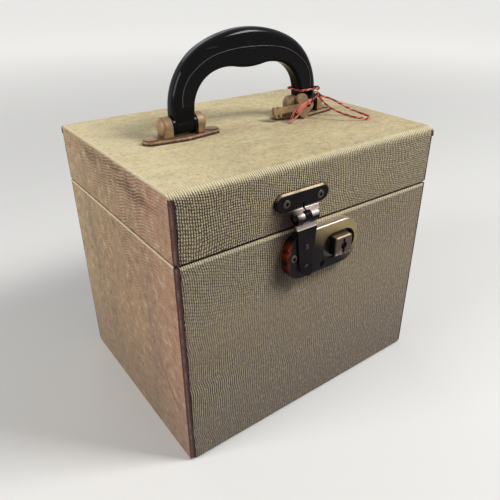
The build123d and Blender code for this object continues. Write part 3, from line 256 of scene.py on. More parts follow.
class Finish:
    """A material and the nodes that make it."""

    def __init__(self, name):
        self.material = bpy.data.materials.new(name)
        self.material.use_nodes = True
        self.tree = self.material.node_tree
        self.tree.nodes.clear()
        output = self.tree.nodes.new("ShaderNodeOutputMaterial")
        self.shader = self.tree.nodes.new("ShaderNodeBsdfPrincipled")
        self.tree.links.new(self.shader.outputs[0], output.inputs["Surface"])
        self.object = Value(self, self.tree.nodes.new("ShaderNodeTexCoord").outputs["Object"])

    def node(self, kind, options=None, sockets=None):
        """Adds a node: its options first, then the values or links of its sockets."""
        node = self.tree.nodes.new(kind)
        for key, option in (options or {}).items():
            setattr(node, key, option)
        for key, given in (sockets or {}).items():
            self.feed(node.inputs[key], given)
        return node

    def feed(self, socket, given):
        """Links a value to a socket, or sets the socket to a number or a colour."""
        if isinstance(given, Value):
            self.tree.links.new(given.socket, socket)
        elif hasattr(given, "__len__") and len(given) == 3 and socket.type == "RGBA":
            socket.default_value = (*given, 1.0)
        else:
            socket.default_value = given

    def value(self, kind, options=None, sockets=None, output=0):
        """Adds a node and gives one of its outputs."""
        return Value(self, self.node(kind, options, sockets).outputs[output])

    def place(self, scale, shift=(0, 0, 0)):
        """The object's coordinates, scaled and moved."""
        sockets = {"Vector": self.object, "Location": shift, "Scale": scale}
        return self.value("ShaderNodeMapping", None, sockets)

    def xyz(self):
        """Width, depth and height on the object."""
        node = self.node("ShaderNodeSeparateXYZ", None, {0: self.object})
        return [Value(self, output) for output in node.outputs]

    def seen(self):
        """1 for the rays that show the background: to the camera, in gloss and through glass."""
        rays = self.node("ShaderNodeLightPath").outputs
        kinds = ("Camera", "Glossy", "Transmission")
        return sum(Value(self, rays[f"Is {kind} Ray"]) for kind in kinds).clamp()

    def noise(self, scale, detail=2.0, stretch=(1, 1, 1), shift=(0, 0, 0), roughness=0.5, distortion=0.0):
        """Soft random patches, finer for a larger scale, and thinner the way that stretch is larger."""
        return self.value(
            "ShaderNodeTexNoise",
            None,
            {
                "Vector": self.place(stretch, shift),
                "Scale": scale,
                "Detail": detail,
                "Roughness": roughness,
                "Distortion": distortion,
            },
        )

    def spots(self, scale):
        """Distance to the nearest of many scattered points, where 1 is about the gap between them."""
        return self.value("ShaderNodeTexVoronoi", None, {"Vector": self.object, "Scale": scale})

    def blend(self, factor, first, second):
        """From the first colour at 0 to the second at 1; the node clamps the factor."""
        return self.value("ShaderNodeMix", {"data_type": "RGBA"}, {0: factor, 6: first, 7: second}, output=2)

    def bump(self, height, distance, strength):
        sockets = {"Strength": strength, "Distance": distance, "Height": height}
        self.set({"Normal": self.value("ShaderNodeBump", None, sockets)})

    def set(self, sockets):
        """Sets or links the surface's own sockets."""
        for key, given in sockets.items():
            self.feed(self.shader.inputs[key], given)


class Sky(Finish):
    """The world and the nodes that make it."""

    def __init__(self, name):
        self.world = bpy.data.worlds.new(name)
        self.world.use_nodes = True
        self.tree = self.world.node_tree
        self.tree.nodes.clear()
        self.surface = self.tree.nodes.new("ShaderNodeOutputWorld").inputs["Surface"]


def dress(finish, *nodes):
    """Gives CAD nodes this finish."""
    for node in nodes:
        mesh = frame["nodes"][node].data
        mesh.materials.clear()
        mesh.materials.append(finish.material)


# ---------------------------------------------------------------- mesh helpers


def piece_from(bm, name, body, finish):
    """Turns a bmesh into a smooth piece that rides on a body."""
    bmesh.ops.remove_doubles(bm, verts=bm.verts, dist=1e-7)
    bmesh.ops.recalc_face_normals(bm, faces=bm.faces)
    mesh = bpy.data.meshes.new(name)
    bm.to_mesh(mesh)
    bm.free()
    for polygon in mesh.polygons:
        polygon.use_smooth = True
    piece = bpy.data.objects.new(name, mesh)
    bpy.context.collection.objects.link(piece)
    mesh.materials.append(finish.material)
    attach(piece, body)
    return piece


def run_at(points, i):
    """The direction of a line of points at its i-th point."""
    return (points[min(i + 1, len(points) - 1)] - points[max(i - 1, 0)]).normalized()


def sections(bm, points, radius, sides, tip=1.0):
    """A round thread along points, bridged from ring to ring, whose end has tip times the radius."""
    rings = []
    up = Vector((0, 0, 1))
    for i, point in enumerate(points):
        run = run_at(points, i)
        side = run.cross(up)
        if side.length < 0.1:
            side = run.cross(Vector((0, 1, 0)))
        side.normalize()
        up = side.cross(run).normalized()
        turn = Matrix((side, up, run)).transposed().to_4x4()
        size = radius * (1 - (1 - tip) * i / (len(points) - 1))
        made = bmesh.ops.create_circle(
            bm, segments=sides, radius=size, cap_ends=False, matrix=Matrix.Translation(point) @ turn
        )
        rings.append(made["verts"])
    for pair in zip(rings, rings[1:]):
        edges = {e for ring in pair for v in ring for e in v.link_edges if e.other_vert(v) in ring}
        bmesh.ops.bridge_loops(bm, edges=list(edges))
    for ring in (rings[0], rings[-1]):
        bmesh.ops.contextual_create(bm, geom=ring)


def route_points(route):
    """Points read along the smooth line of a cord's route, which is in millimetres."""
    curve = bpy.data.curves.new("route", "CURVE")
    curve.dimensions = "3D"
    curve.resolution_u = 16
    spline = curve.splines.new("NURBS")
    spline.points.add(len(route) - 1)
    for place, stop in zip(spline.points, route):
        place.co = (*[c * MM for c in stop], 1.0)
    spline.order_u = 3
    spline.use_endpoint_u = True
    holder = bpy.data.objects.new("route", curve)
    mesh = bpy.data.meshes.new_from_object(holder)
    line = [v.co.copy() for v in mesh.vertices]
    bpy.data.objects.remove(holder)
    bpy.data.curves.remove(curve)
    bpy.data.meshes.remove(mesh)
    return line


def even(line, step):
    """The same line with its points one step apart, and its length."""
    lengths = [0.0]
    for first, second in zip(line, line[1:]):
        lengths.append(lengths[-1] + (second - first).length)
    count = max(int(lengths[-1] / step), 4)
    spread = []
    i = 0
    for n in range(count + 1):
        want = lengths[-1] * n / count
        while i < len(lengths) - 2 and lengths[i + 1] < want:
            i += 1
        gap = lengths[i + 1] - lengths[i]
        spread.append(line[i].lerp(line[i + 1], (want - lengths[i]) / gap if gap else 0))
    return spread, lengths[-1]


def dome(bm, place, radii, segments):
    """A flattened ball of these radii with its centre at a place."""
    bmesh.ops.create_uvsphere(
        bm,
        u_segments=segments,
        v_segments=segments // 2,
        radius=1,
        matrix=Matrix.Translation(place) @ Matrix.Diagonal((*radii, 1)),
    )


# ---------------------------------------------------------------- coverings

# In the finishes, places on the box are in metres, a noise's scale is its patches to a metre, a step or
# band on a noise picks the share of it that counts, and a factor after it is how strongly it colours.


def crown(place):
    """1 on the crown of a scale and 0 in the creases, once per unit."""
    return (place * math.tau).math("SINE") * 0.5 + 0.5


def lattice(finish, across, along, look, coarser):
    """Crowns of the grain's wavy columns and slanting rows, stretched towards the left end."""
    column_bend, column_jitter, row_bend, row_slant, row_stretch, fan = 7.0, 0.6, 6.0, 0.36, 0.24, 7.5
    bend = finish.noise(34.0, 1.0, stretch=(0.45, 0.45, 1)) - 0.5
    lean = finish.noise(20.0, 1.0, shift=(0.3, 0.1, 0.7)) - 0.5
    jitter = finish.noise(300.0, 2.0) - 0.5
    shake = finish.noise(470.0, 1.0, shift=(0.6, 0.2, 0.4)) - 0.5
    widen = 1 - across * (coarser - 1) * fan
    column = across * widen / (look.column * coarser) + bend * column_bend + jitter * column_jitter
    left_end = 1 - across.step(-0.105, -0.045)
    height = (along - SEAM) * (1 - left_end * row_stretch)
    row = height / (look.row * coarser) + lean * row_bend + column * row_slant + shake
    top_of_crown = 0.74
    return crown(column).step(0.0, top_of_crown), crown(row).step(0.0, top_of_crown)


def strip_lines(finish, base, look, where=1.0):
    """The strip down a corner: pink along the edge, with a dark line at each side."""
    x, y, z = finish.xyz()
    span = (WIDE - x.math("ABSOLUTE")) + (DEEP - y.math("ABSOLUTE"))
    patchy = finish.noise(150.0, 4.0, roughness=0.65)
    pink = finish.blend(patchy.step(0.40, 0.66) * 0.8, look.strip, look.pink)
    dark = span.step(1.2 * MM, 1.9 * MM) + (1 - span.step(0.1 * MM, 0.45 * MM)) * 0.5
    end = z.step(STRIP_TOP - 1.0 * MM, STRIP_TOP + 1.5 * MM) * 0.75
    paint = pink.coat(look.groove, dark * (0.75 + patchy * 0.4) + end)
    return finish.blend(where, base, paint)


def above_strip(finish, from_corner):
    """1 where the lid's covering closes over the top of a corner strip."""
    z = finish.xyz()[2]
    above = z.band(STRIP_TOP - 0.5 * MM, TOP - 2.8 * MM, 0.3 * MM)
    return above * (1 - from_corner.step(STRIP_WIDE - 0.3 * MM, STRIP_WIDE + 0.2 * MM))


def lid_top(z):
    """1 on the lid's top and 0 down its walls."""
    return z.step(TOP - 3.4 * MM, TOP - 0.3 * MM)


def lid_grain(finish, look, wear):
    """The lid's ground colour, the depth of its grain, which is faint on top, and the rows' share in it."""
    x, y, z = finish.xyz()
    on_top = lid_top(z)
    hatch = finish.noise(27.0, 2.0, shift=(0.7, 0.3, 0.0)).step(0.46, 0.68)
    front_edge = 1 - y.step(FRONT + 4 * MM, FRONT + 15 * MM)
    faint = hatch * 0.20 * (0.3 + wear) + front_edge * 0.32 + 0.05
    depth = (0.92 + wear * 0.3) * (1 - on_top) + faint * on_top
    left_end = 1 - x.step(-0.085, -0.030)
    row_share = (0.34 + left_end * 0.26) * (1 - on_top) + 0.10
    return finish.blend(on_top, look.khaki, look.cream), depth, row_share


def base_grain(finish, look, patch):
    """The base's ground colour, the depth of its grain, deepest on the left, and the rows' share in it."""
    x, _, z = finish.xyz()
    upper = z.step(0.095, 0.140)
    left = 1 - x.step(-0.085, 0.045)
    calm = z.band(0.075, 0.125, 0.022)
    depth = left * (0.44 - calm * 0.26 - upper * 0.10) + upper * 0.24
    depth = depth + z.step(0.004, 0.060) * 0.22 + patch.step(0.4, 0.7) * 0.2
    ground = finish.blend(z.step(0.0, 0.13) * 0.85, look.low, look.dull)
    upper_left = (1 - x.step(-0.070, 0.010)) * z.step(0.080, 0.140)
    return ground.coat(look.worn, upper_left * 0.24), depth, upper * 0.26 + 0.16


def faded_top(finish, look, base):
    """Streaks along the lid's top, which is stained to the right and lighter to the left."""
    x, _, z = finish.xyz()
    on_top = lid_top(z)
    streaks = finish.noise(110.0, 5.0, stretch=(0.42, 1, 1), shift=(0.3, 0.6, 0), roughness=0.68)
    base = base.coat(look.stain, streaks.step(0.46, 0.68) * on_top * 0.34)
    base = base.coat(look.worn, (1 - streaks.step(0.30, 0.48)) * on_top * 0.26)
    base = base.coat(look.stain, x.step(0.000, 0.110) * on_top * 0.22)
    return base.coat(look.worn, (1 - x.step(-0.105, -0.030)) * on_top * 0.30)


def gritty(finish, look, base, speck):
    """Fine grit: dark in the pores and pale between them."""
    grit = finish.noise(360.0, 5.0, shift=(0.9, 0.1, 0.3), roughness=0.72)
    base = base.coat(look.crease, speck.step(0.58, 0.72) * 0.20 + grit.step(0.50, 0.70) * 0.34)
    return base.coat(look.worn, (1 - grit.step(0.32, 0.50)) * 0.30)


def corner_grime(finish, look, base, scales, wear, lid):
    """Dirt beside the left strip, rubbed through to the cloth in spots."""
    x, _, z = finish.xyz()
    grime = (1 - (x - LEFT).step(2.2 * MM, 6.6 * MM)) * (0.55 + wear * 0.8) * (1.0 if lid else 0.55)
    if lid:
        grime = grime * (1 - z.step(TOP - 5.5 * MM, TOP - 2.5 * MM))
    base = base.coat(look.groove, grime * (1 - scales * 0.55) * 0.9)
    return base.coat(look.bare, grime * scales * finish.noise(64.0, 2.0).step(0.56, 0.66))


def latch_shadow(finish, look, base, share):
    """Painted shadow on the front, left of the hasp and the lock."""
    x, y, z = finish.xyz()
    (left, _, bottom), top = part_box("lock_case")[0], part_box("hasp_plate")[1][2]
    beside = x.band(left - 10 * MM, left + 12 * MM, 9 * MM)
    between = z.band(bottom - 6 * MM, top - 9 * MM, 9 * MM)
    on_front = 1 - y.step(FRONT + 2 * MM, FRONT + 4 * MM)
    return base.coat(look.groove, beside * between * on_front * share)


def lid_edges(finish, look, base, columns):
    """The lid's front roll, worn and with a painted highlight, the ends of its strips and painted shade along
    its lower edge.
    """
    x, y, z = finish.xyz()
    # Wear and painted highlight along the lid's rounded front edge, in ticks that follow the grain's columns.
    roll = y.band(FRONT + 0.4 * MM, FRONT + 5.0 * MM, 1.2 * MM) * z.step(TOP - 5.0 * MM, TOP - 1.5 * MM)
    base = base.coat(look.worn, roll * columns * 0.60)
    base = strip_lines(finish, base, look, above_strip(finish, WIDE - x.math("ABSOLUTE")))
    # Painted shade along the lid's lower edge, at the seam's gap.
    seam_shade = 1 - z.step(LID_BOTTOM + 0.35 * MM, LID_BOTTOM + 0.75 * MM)
    return base.coat(look.groove, seam_shade * 0.92)


def base_edges(finish, look, base, columns):
    """The base's worn rim, painted shade in its mouth and the dirt along the floor."""
    z = finish.xyz()[2]
    rim = z.band(SEAM - 2.6 * MM, SEAM - 0.5 * MM, 0.5 * MM)
    base = base.coat(look.worn, rim * (0.42 + columns * 0.55))
    floor_dirt = 1 - z.step(0.4 * MM, 3.2 * MM)
    base = base.coat(look.crease, floor_dirt * 0.5)
    # Painted shade on the base's top edge, down in the seam's gap.
    seam_shade = z.step(SEAM - 0.35 * MM, SEAM - 0.12 * MM)
    return base.coat(look.groove, seam_shade * 0.92)


def front_finish(context, name, lid):
    """Khaki covering of the front and back, which on the lid runs over the top."""
    look = settings(context, "covering")
    finish = Finish(name)
    x, y, z = finish.xyz()
    columns, rows = lattice(finish, x, z + y if lid else z, look, 1.0 if lid else look.coarser)
    patch = finish.noise(14.0, 2.0)
    wear = finish.noise(30.0, 4.0, shift=(0.4, 0.9, 0.2))
    mottle = finish.noise(110.0, 4.0, shift=(0.2, 0.8, 0.1), roughness=0.65)
    speck = finish.noise(760.0, 2.0)
    tone = finish.noise(9.0, 3.0, shift=(0.2, 0.0, 0.5))
    base, depth, row_share = lid_grain(finish, look, wear) if lid else base_grain(finish, look, patch)
    scales = columns * (1 - row_share * (1 - rows))
    base = base.coat(look.stain, tone.step(0.36, 0.70) * 0.30)
    base = base.coat(look.stain, mottle.step(0.48, 0.70) * 0.26)
    if lid:
        base = faded_top(finish, look, base)
    # Creases darkened as dirt and painted shade; crowns lightened as wear and painted highlight.
    base = base.coat(look.crease, (1 - scales) * depth * 0.88)
    base = base.coat(look.worn, scales.step(0.6, 1.0) * depth * (0.25 + mottle * 0.6))
    base = gritty(finish, look, base, speck)
    base = corner_grime(finish, look, base, scales, wear, lid)
    # Painted shadow left of the hasp and the lock.
    base = latch_shadow(finish, look, base, 0.86 if lid else 0.70)
    base = (lid_edges if lid else base_edges)(finish, look, base, columns)
    roughness = 0.66 - scales * depth * 0.22 + wear * 0.08
    finish.set({"Base Color": base, "Roughness": roughness, "Specular IOR Level": 0.28})
    finish.bump(scales * depth + speck * 0.12 + mottle * 0.25 + patch * 0.2, 0.46 * MM, 0.95)
    return finish


def side_grain(finish, look):
    """The sides' ripples, the scales that breaks make of them, and their depth."""
    _, y, z = finish.xyz()
    rise, ripple_bend, ripple_jitter, break_length, break_bend = 60.0, 7.0, 0.7, 7.0 * MM, 4.0
    bend = finish.noise(30.0, 2.0, stretch=(1, 1, 0.5)) - 0.5
    jitter = finish.noise(280.0, 1.0) - 0.5
    waver = finish.noise(60.0, 1.0) - 0.5
    ripples = crown(z / look.ripple + y * rise + bend * ripple_bend + jitter * ripple_jitter)
    breaks = crown(y / break_length + ripples * 0.2 + waver * break_bend)
    patch = finish.noise(15.0, 2.0, shift=(0, 0.31, 0.12))
    middle = y.band(-0.070, 0.050, 0.030) * z.step(0.070, 0.120)
    depth = (patch.step(0.36, 0.62) * 0.20 + middle * 0.22 + 0.10).clamp()
    return ripples, ripples * (0.72 + breaks * 0.28), depth


def side_paint(finish, look, streaks, mottle):
    """The sides' colour: rosy in front, khaki at the far end, with streaks and mottling."""
    _, y, z = finish.xyz()
    cloud = finish.noise(12.0, 3.0, shift=(0, 0.1, 0.4))
    upright = finish.noise(34.0, 2.0, stretch=(1, 1, 0.16), shift=(0, 0.7, 0))
    rosy = 1 - y.step(FRONT + 8 * MM, FRONT + 75 * MM)
    base = finish.blend(cloud.step(0.32, 0.72) * 0.26 + rosy * 0.62, look.tan, look.pink)
    base = base.coat(look.khaki, y.step(0.000, 0.085) * 0.34)
    base = base.coat(look.low, upright.step(0.52, 0.70) * 0.34)
    base = base.coat(look.stain, streaks.step(0.50, 0.70) * 0.36)
    base = base.coat(look.soot, mottle.step(0.50, 0.70) * 0.42)
    base = base.coat(look.worn, (1 - mottle.step(0.30, 0.48)) * 0.42)
    return base.coat(look.low, (1 - z.step(0.0, 0.10)) * 0.48)


def side_wear(finish, look, base, ripples, wear):
    """Smoky dirt under the lid's edge, rubbed and pitted spots, and flecks worn bare."""
    _, y, z = finish.xyz()
    under_edge = z.band(TOP - 19 * MM, TOP - 5 * MM, 4 * MM) * y.band(-0.066, 0.050, 0.018)
    smoke = finish.noise(44.0, 4.0, stretch=(1, 0.5, 1.6)).step(0.44, 0.62)
    base = base.coat(look.soot, under_edge * smoke * (1 - ripples * 0.6) * 0.8)
    base = base.coat(look.worn, wear.step(0.58, 0.74) * 0.46)
    base = base.coat(look.soot, (1 - wear.step(0.28, 0.42)) * 0.42)
    return base.coat(look.bare, (1 - finish.spots(60).step(0.03, 0.055)) * 0.8)


def side_edges(finish, look, base, wear):
    """The sides' worn rims, painted shade in the seam and the ends of the strips."""
    _, y, z = finish.xyz()
    rim = z.band(SEAM - 1.5 * MM, SEAM - 0.4 * MM, 0.3 * MM) * 0.85
    top_rim = z.step(TOP - 2.4 * MM, TOP - 0.8 * MM) * (0.45 + wear * 0.7)
    base = base.coat(look.worn, rim + top_rim)
    # Painted shade in the seam between base and lid.
    seam_shade = z.band(SEAM - 0.10 * MM, LID_BOTTOM + 0.05 * MM, 0.10 * MM)
    base = base.coat(look.groove, seam_shade * 0.6)
    return strip_lines(finish, base, look, above_strip(finish, DEEP - y.math("ABSOLUTE")))


def side_crack(finish, streaks):
    """1 along the bowed crack that crosses the left side's front end."""
    x, y, z = finish.xyz()
    start, run, height, climb, bow = -0.050, 0.022, 0.074, 0.030, 0.004
    along = (y - start) / run
    waver = (streaks - 0.5) * 0.004
    off = (z - height - along * climb - along * (along + 1.0) * bow - waver).math("ABSOLUTE")
    crack = (1 - off.step(0.3 * MM, 1.3 * MM)) * y.band(start - run, start, 1.5 * MM)
    return crack * (1 - x.step(LEFT + 2 * MM, LEFT + 4 * MM))


def side_finish(context, name):
    """Tan covering of the sides, rippled along the box and worn in places."""
    look = settings(context, "covering")
    finish = Finish(name)
    streaks = finish.noise(26.0, 4.0, stretch=(1, 1, 0.22), roughness=0.6)
    mottle = finish.noise(150.0, 4.0, roughness=0.68)
    wear = finish.noise(420.0, 4.0, roughness=0.7)
    ripples, scales, depth = side_grain(finish, look)
    base = side_paint(finish, look, streaks, mottle)
    base = base.coat(look.soot, (1 - scales) * depth * 0.72)
    base = base.coat(look.worn, scales.step(0.5, 1.0) * depth * 0.40)
    base = side_wear(finish, look, base, ripples, wear)
    base = side_edges(finish, look, base, wear)
    crack = side_crack(finish, streaks)
    base = base.coat(look.soot, crack * 0.75)
    finish.set({"Base Color": base, "Roughness": 0.70 - scales * depth * 0.18, "Specular IOR Level": 0.22})
    finish.bump(scales * depth + wear * 0.30 + mottle * 0.4 + streaks * 0.25 - crack * 0.6, 0.50 * MM, 0.95)
    return finish


def strip_finish(context):
    """Cloth of the corner strips, ribbed across and rubbed."""
    look = settings(context, "covering")
    finish = Finish("corner_strip_cloth")
    z = finish.xyz()[2]
    ribs = crown(z / (1.3 * MM) + finish.noise(90.0, 2.0) * 3.0)
    patchy = finish.noise(120.0, 4.0, roughness=0.65)
    base = strip_lines(finish, look.strip, look)
    base = base.coat(look.groove, (1 - ribs) * 0.30)
    base = base.coat(look.groove, finish.noise(40.0, 3.0).step(0.52, 0.66) * 0.5)
    finish.set({"Base Color": base, "Roughness": 0.60 + patchy * 0.2})
    finish.bump(ribs * 0.5 + patchy * 0.6, 0.3 * MM, 0.8)
    return finish


def board_finish(context):
    """Stained softwood boards."""
    look = settings(context, "covering")
    finish = Finish("stained_board")
    fibre = finish.noise(60.0, 5.0, stretch=(1, 1, 9), roughness=0.62, distortion=0.6)
    base = finish.blend(fibre.step(0.34, 0.72) * 0.45, look.groove, look.strip)
    finish.set({"Base Color": base, "Roughness": 0.72 + fibre * 0.12})
    finish.bump(fibre, 0.15 * MM, 0.6)
    return finish


def lining_finish(context):
    """Paper lining, stained and foxed."""
    look = settings(context, "covering")
    finish = Finish("paper_lining")
    fibre = finish.noise(420.0, 3.0, stretch=(1, 1, 0.35))
    stain = finish.noise(14.0, 4.0)
    base = finish.blend(stain.step(0.42, 0.72) * 0.45, look.lining, look.stain)
    base = base.coat(look.worn, fibre.step(0.45, 0.7) * 0.25)
    base = base.coat(look.soot, (1 - finish.spots(75).step(0.05, 0.16)) * 0.45)
    finish.set({"Base Color": base, "Roughness": 0.82 + fibre * 0.1})
    finish.bump(fibre + stain * 0.4, 0.12 * MM, 0.6)
    return finish


# ---------------------------------------------------------------- metals, moulding and thread


# The metals: ground colour, colour where rubbed, dirt, and how tarnished, metallic and rough each one is
METALS = {
    "bronzed_casting": ("bronze", "brass", "umber", 0.55, 0.22, 0.42),
    "cap_casting": ("bronze", "brass", "umber", 0.75, 0.25, 0.38),
    "rivet_metal": ("bronze", "brass", "umber", 0.50, 0.25, 0.40),
    "key_brass": ("bronze", "brass", "umber", 0.60, 0.45, 0.36),
    "washer_steel": ("steel", "bright", "rust", 0.30, 0.80, 0.36),
    "hinge_steel": ("steel", "bright", "rust", 0.40, 0.75, 0.36),
    "pin_steel": ("steel", "bright", "rust", 0.30, 0.85, 0.30),
    "case_plating": ("latch", "smoked", "tarnish", 0.70, 0.85, 0.28),
    "hasp_plating": ("latch", "smoked", "tarnish", 0.75, 0.85, 0.30),
    "leaf_plating": ("latch", "smoked", "tarnish", 0.60, 0.85, 0.30),
    "eyelet_plating": ("latch", "rubbed", "tarnish", 0.80, 0.50, 0.32),
    "button_plating": ("rubbed", "rubbed", "umber", 0.60, 0.80, 0.26),
    "inner_steel": ("smoked", "rubbed", "tarnish", 0.50, 0.70, 0.45),
    "peened_ends": ("tarnish", "smoked", "crust", 0.50, 0.50, 0.12),
}


def metal_finish(look, name):
    """One of the metals, rubbed lighter on some spots and dirty in others, with its paint kept on it."""
    ground, worn, dirt = (getattr(look, colour) for colour in METALS[name][:3])
    tarnish, metallic, roughness = METALS[name][3:]
    finish = Finish(name)
    broad = finish.noise(75.0, 3.0, roughness=0.55)
    fine = finish.noise(520.0, 4.0, shift=(0.5, 0.2, 0.8), roughness=0.6)
    marks = finish.noise(330.0, 2.0, stretch=(0.3, 1, 4), distortion=0.4)
    base = finish.blend(broad.step(0.32, 0.74) * 0.55, ground, worn)
    base = base.coat(worn, fine.step(0.36, 0.80) * 0.30)
    base = base.coat(worn, marks.step(0.60, 0.70) * 0.26)
    dirty = (((1 - broad.step(0.28, 0.56)) * 0.55 + fine.step(0.52, 0.78) * 0.65) * tarnish).clamp()
    base = base.coat(dirt, dirty)
    finish.set(
        {
            "Base Color": base,
            "Roughness": roughness + broad * 0.14 + dirty * 0.30,
            "Metallic": metallic - dirty * 0.4 * metallic,
        }
    )
    finish.bump(fine * 0.7 + broad * 0.8, 0.10 * MM, 0.8)
    finish.paint = base
    return finish


def handle_finish(context, name, rubbed):
    """Black moulding with dust and fine scuffs; rubbed is the share greyed towards silver, as wear and, on
    the ledge bead, as painted highlight.
    """
    look = settings(context, "fitting")
    finish = Finish(name)
    dust = finish.noise(300.0, 4.0, roughness=0.7)
    haze = finish.noise(45.0, 3.0)
    marks = finish.noise(520.0, 2.0, stretch=(0.15, 1, 1.4))
    grey = dust.step(0.62, 0.80) * 0.06 + haze.step(0.2, 0.6) * rubbed
    scuffs = marks.step(0.62, 0.74) * haze.step(0.52, 0.62)
    base = finish.blend(grey, look.bakelite, look.silver).coat(look.steel, scuffs * 0.08)
    roughness = 0.10 + haze.step(0.45, 0.75) * 0.10 + scuffs * 0.2
    finish.set({"Base Color": base, "Roughness": roughness, "Specular IOR Level": 0.10})
    finish.bump(haze + dust * 0.06, 0.26 * MM, 0.4)
    return finish


def foot_finish(context):
    """Cast bronze with a crumbling red-brown rim where it meets the covering."""
    look = settings(context, "fitting")
    finish = metal_finish(look, "bronzed_casting")
    _, y, z = finish.xyz()
    crumbs = finish.noise(560.0, 4.0, roughness=0.75)
    tarnish = finish.noise(130.0, 3.0, shift=(0.1, 0.4, 0.6)).step(0.48, 0.68) * 0.45
    from_pin = (y * y + (z - PIVOT) * (z - PIVOT)).math("SQRT")
    ring = from_pin.band(5.8 * MM, 6.7 * MM, 0.6 * MM) * z.step(TOP + 3.0 * MM, TOP + 4.0 * MM)
    heel = z.band(TOP + 2.7 * MM, TOP + 4.2 * MM, 0.7 * MM) * 0.75
    rim = 1 - (z - (crumbs - 0.5) * 2.2 * MM).step(TOP + 1.25 * MM, TOP + 1.95 * MM)
    base = finish.paint.coat(look.umber, tarnish + ring * 0.7)
    base = base.coat(look.umber, heel)
    base = base.coat(look.crust, rim * crumbs.step(0.30, 0.46))
    base = base.coat(look.rust, rim * crumbs.step(0.60, 0.68) * 0.7)
    base = base.coat(look.brass, rim * (1 - crumbs.step(0.30, 0.36)))
    finish.set({"Base Color": base})
    finish.bump(crumbs * rim * 2.4 + crumbs * 0.3, 0.30 * MM, 0.95)
    return finish


def rivet_finish(context):
    """Rubbed rivet heads and pins, with painted shade low on their sides where they meet the foot's plate."""
    look = settings(context, "fitting")
    finish = metal_finish(look, "rivet_metal")
    # Painted shade below the heads' tops.
    above = finish.xyz()[2].step(TOP + 3.2 * MM, TOP + 3.7 * MM)
    finish.set({"Base Color": finish.paint.coat(look.crust, (1 - above) * 0.85)})
    return finish


def twine_finish(context, dark):
    """The twine's red thread, faded in places, or its dark one."""
    look = settings(context, "twine")
    finish = Finish("dark_thread" if dark else "red_twine")
    fuzz = finish.noise(1500.0, 3.0, roughness=0.7)
    fade = finish.noise(90.0, 2.0, shift=(0.4, 0.2, 0.1))
    if dark:
        base = finish.blend(fade.step(0.55, 0.70) * 0.6, look.dark, look.red)
    else:
        base = finish.blend(fade.step(0.42, 0.62), look.red, look.pale)
    base = base.coat(look.pale, fuzz.step(0.5, 0.75) * 0.4)
    finish.set({"Base Color": base, "Roughness": 0.78 + fuzz * 0.15})
    finish.bump(fuzz, 0.12 * MM, 0.8)
    return finish


def case_finish(context):
    """The lock case: painted light, olive yellow towards the upper right and violet dark towards the lower
    left, a painted highlight along its top, and a rusty left wall.
    """
    look = settings(context, "fitting")
    finish = metal_finish(look, "case_plating")
    x, _, z = finish.xyz()
    low, high = corners("lock_case")
    across, up = (x - low.x) / (high.x - low.x), (z - low.z) / (high.z - low.z)
    cloud = finish.noise(130.0, 4.0, roughness=0.6)
    # Painted light: lighter and more metallic towards the upper right, where the light falls, leaving the
    # lower left dark.
    painted_light = (across + up * 0.8).step(0.80, 1.40) * (0.55 + cloud * 0.7)
    base = finish.paint.coat(look.bright, painted_light * 0.85)
    # Painted highlight along the case's top.
    top = up.step(0.955, 0.995) * across.step(0.30, 0.42)
    base = base.coat(look.silver, top * 0.8)
    left_wall = 1 - across.step(0.0, 0.05 + up * 0.03)
    flakes = finish.noise(300.0, 4.0, roughness=0.65).step(0.36, 0.62)
    base = base.coat(look.rust, left_wall * (0.35 + up.step(0.35, 0.85) * 0.75) * flakes)
    metallic = ((painted_light + top).clamp() * 0.55 + look.blackened).clamp()
    finish.set({"Base Color": base, "Metallic": metallic, "Specular IOR Level": 0.08})
    return finish


def plate_finish(context):
    """The hasp's plate: violet black, with painted highlight along its upper bevel and where the tongue
    flares out, and painted shade under the pin.
    """
    look = settings(context, "fitting")
    finish = metal_finish(look, "hasp_plating")
    x, y, z = finish.xyz()
    low, high = corners("hasp_plate")
    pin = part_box("hasp_pin")[1][2]
    patchy = finish.noise(160.0, 3.0)
    # Painted highlight along the upper bevel.
    bevel = z.step(high.z - 5.0 * MM, high.z - 2.0 * MM) * y.step(FRONT - 2.45 * MM, FRONT - 2.25 * MM)
    base = finish.paint.coat(look.rubbed, bevel * (0.55 + patchy * 0.4))
    # Painted highlight where the tongue flares out round the pin.
    flare = z.band(pin - 0.6 * MM, pin + 4.6 * MM, 1.0 * MM) * x.step(low.x + 12 * MM, low.x + 22 * MM)
    flare = flare * (1 - y.step(FRONT - 2.55 * MM, FRONT - 2.45 * MM))
    base = base.coat(look.silver, flare * (0.34 + patchy * 0.4))
    # Painted shade under the pin.
    under = 1 - z.step(pin - 2.2 * MM, pin - 0.8 * MM)
    base = base.coat(look.tarnish, under * 0.9)
    metallic = (bevel * 0.6 + flare * 0.5 + look.blackened).clamp()
    finish.set({"Base Color": base, "Metallic": metallic, "Specular IOR Level": 0.05})
    return finish


def leaf_finish(context):
    """The hasp's leaf: brown black, with a painted highlight where it bends below the pin."""
    look = settings(context, "fitting")
    finish = metal_finish(look, "leaf_plating")
    z = finish.xyz()[2]
    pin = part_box("hasp_pin")[0][2]
    patchy = finish.noise(160.0, 3.0)
    roll = z.step(pin - 0.9 * MM, pin)
    base = finish.paint.coat(look.tarnish, roll * 0.85)
    # Painted highlight on the leaf's bend below the pin, with a brighter line along its lower edge.
    bend = z.band(pin - 6.0 * MM, pin - 0.9 * MM, 0.4 * MM)
    base = base.coat(look.silver, bend * (0.36 + patchy * 0.26))
    hem_highlight = z.band(pin - 6.4 * MM, pin - 5.6 * MM, 0.2 * MM)
    base = base.coat(look.silver, hem_highlight * 0.9)
    metallic = (bend * 0.2 + look.blackened).clamp()
    finish.set({"Base Color": base, "Metallic": metallic, "Specular IOR Level": 0.05})
    return finish


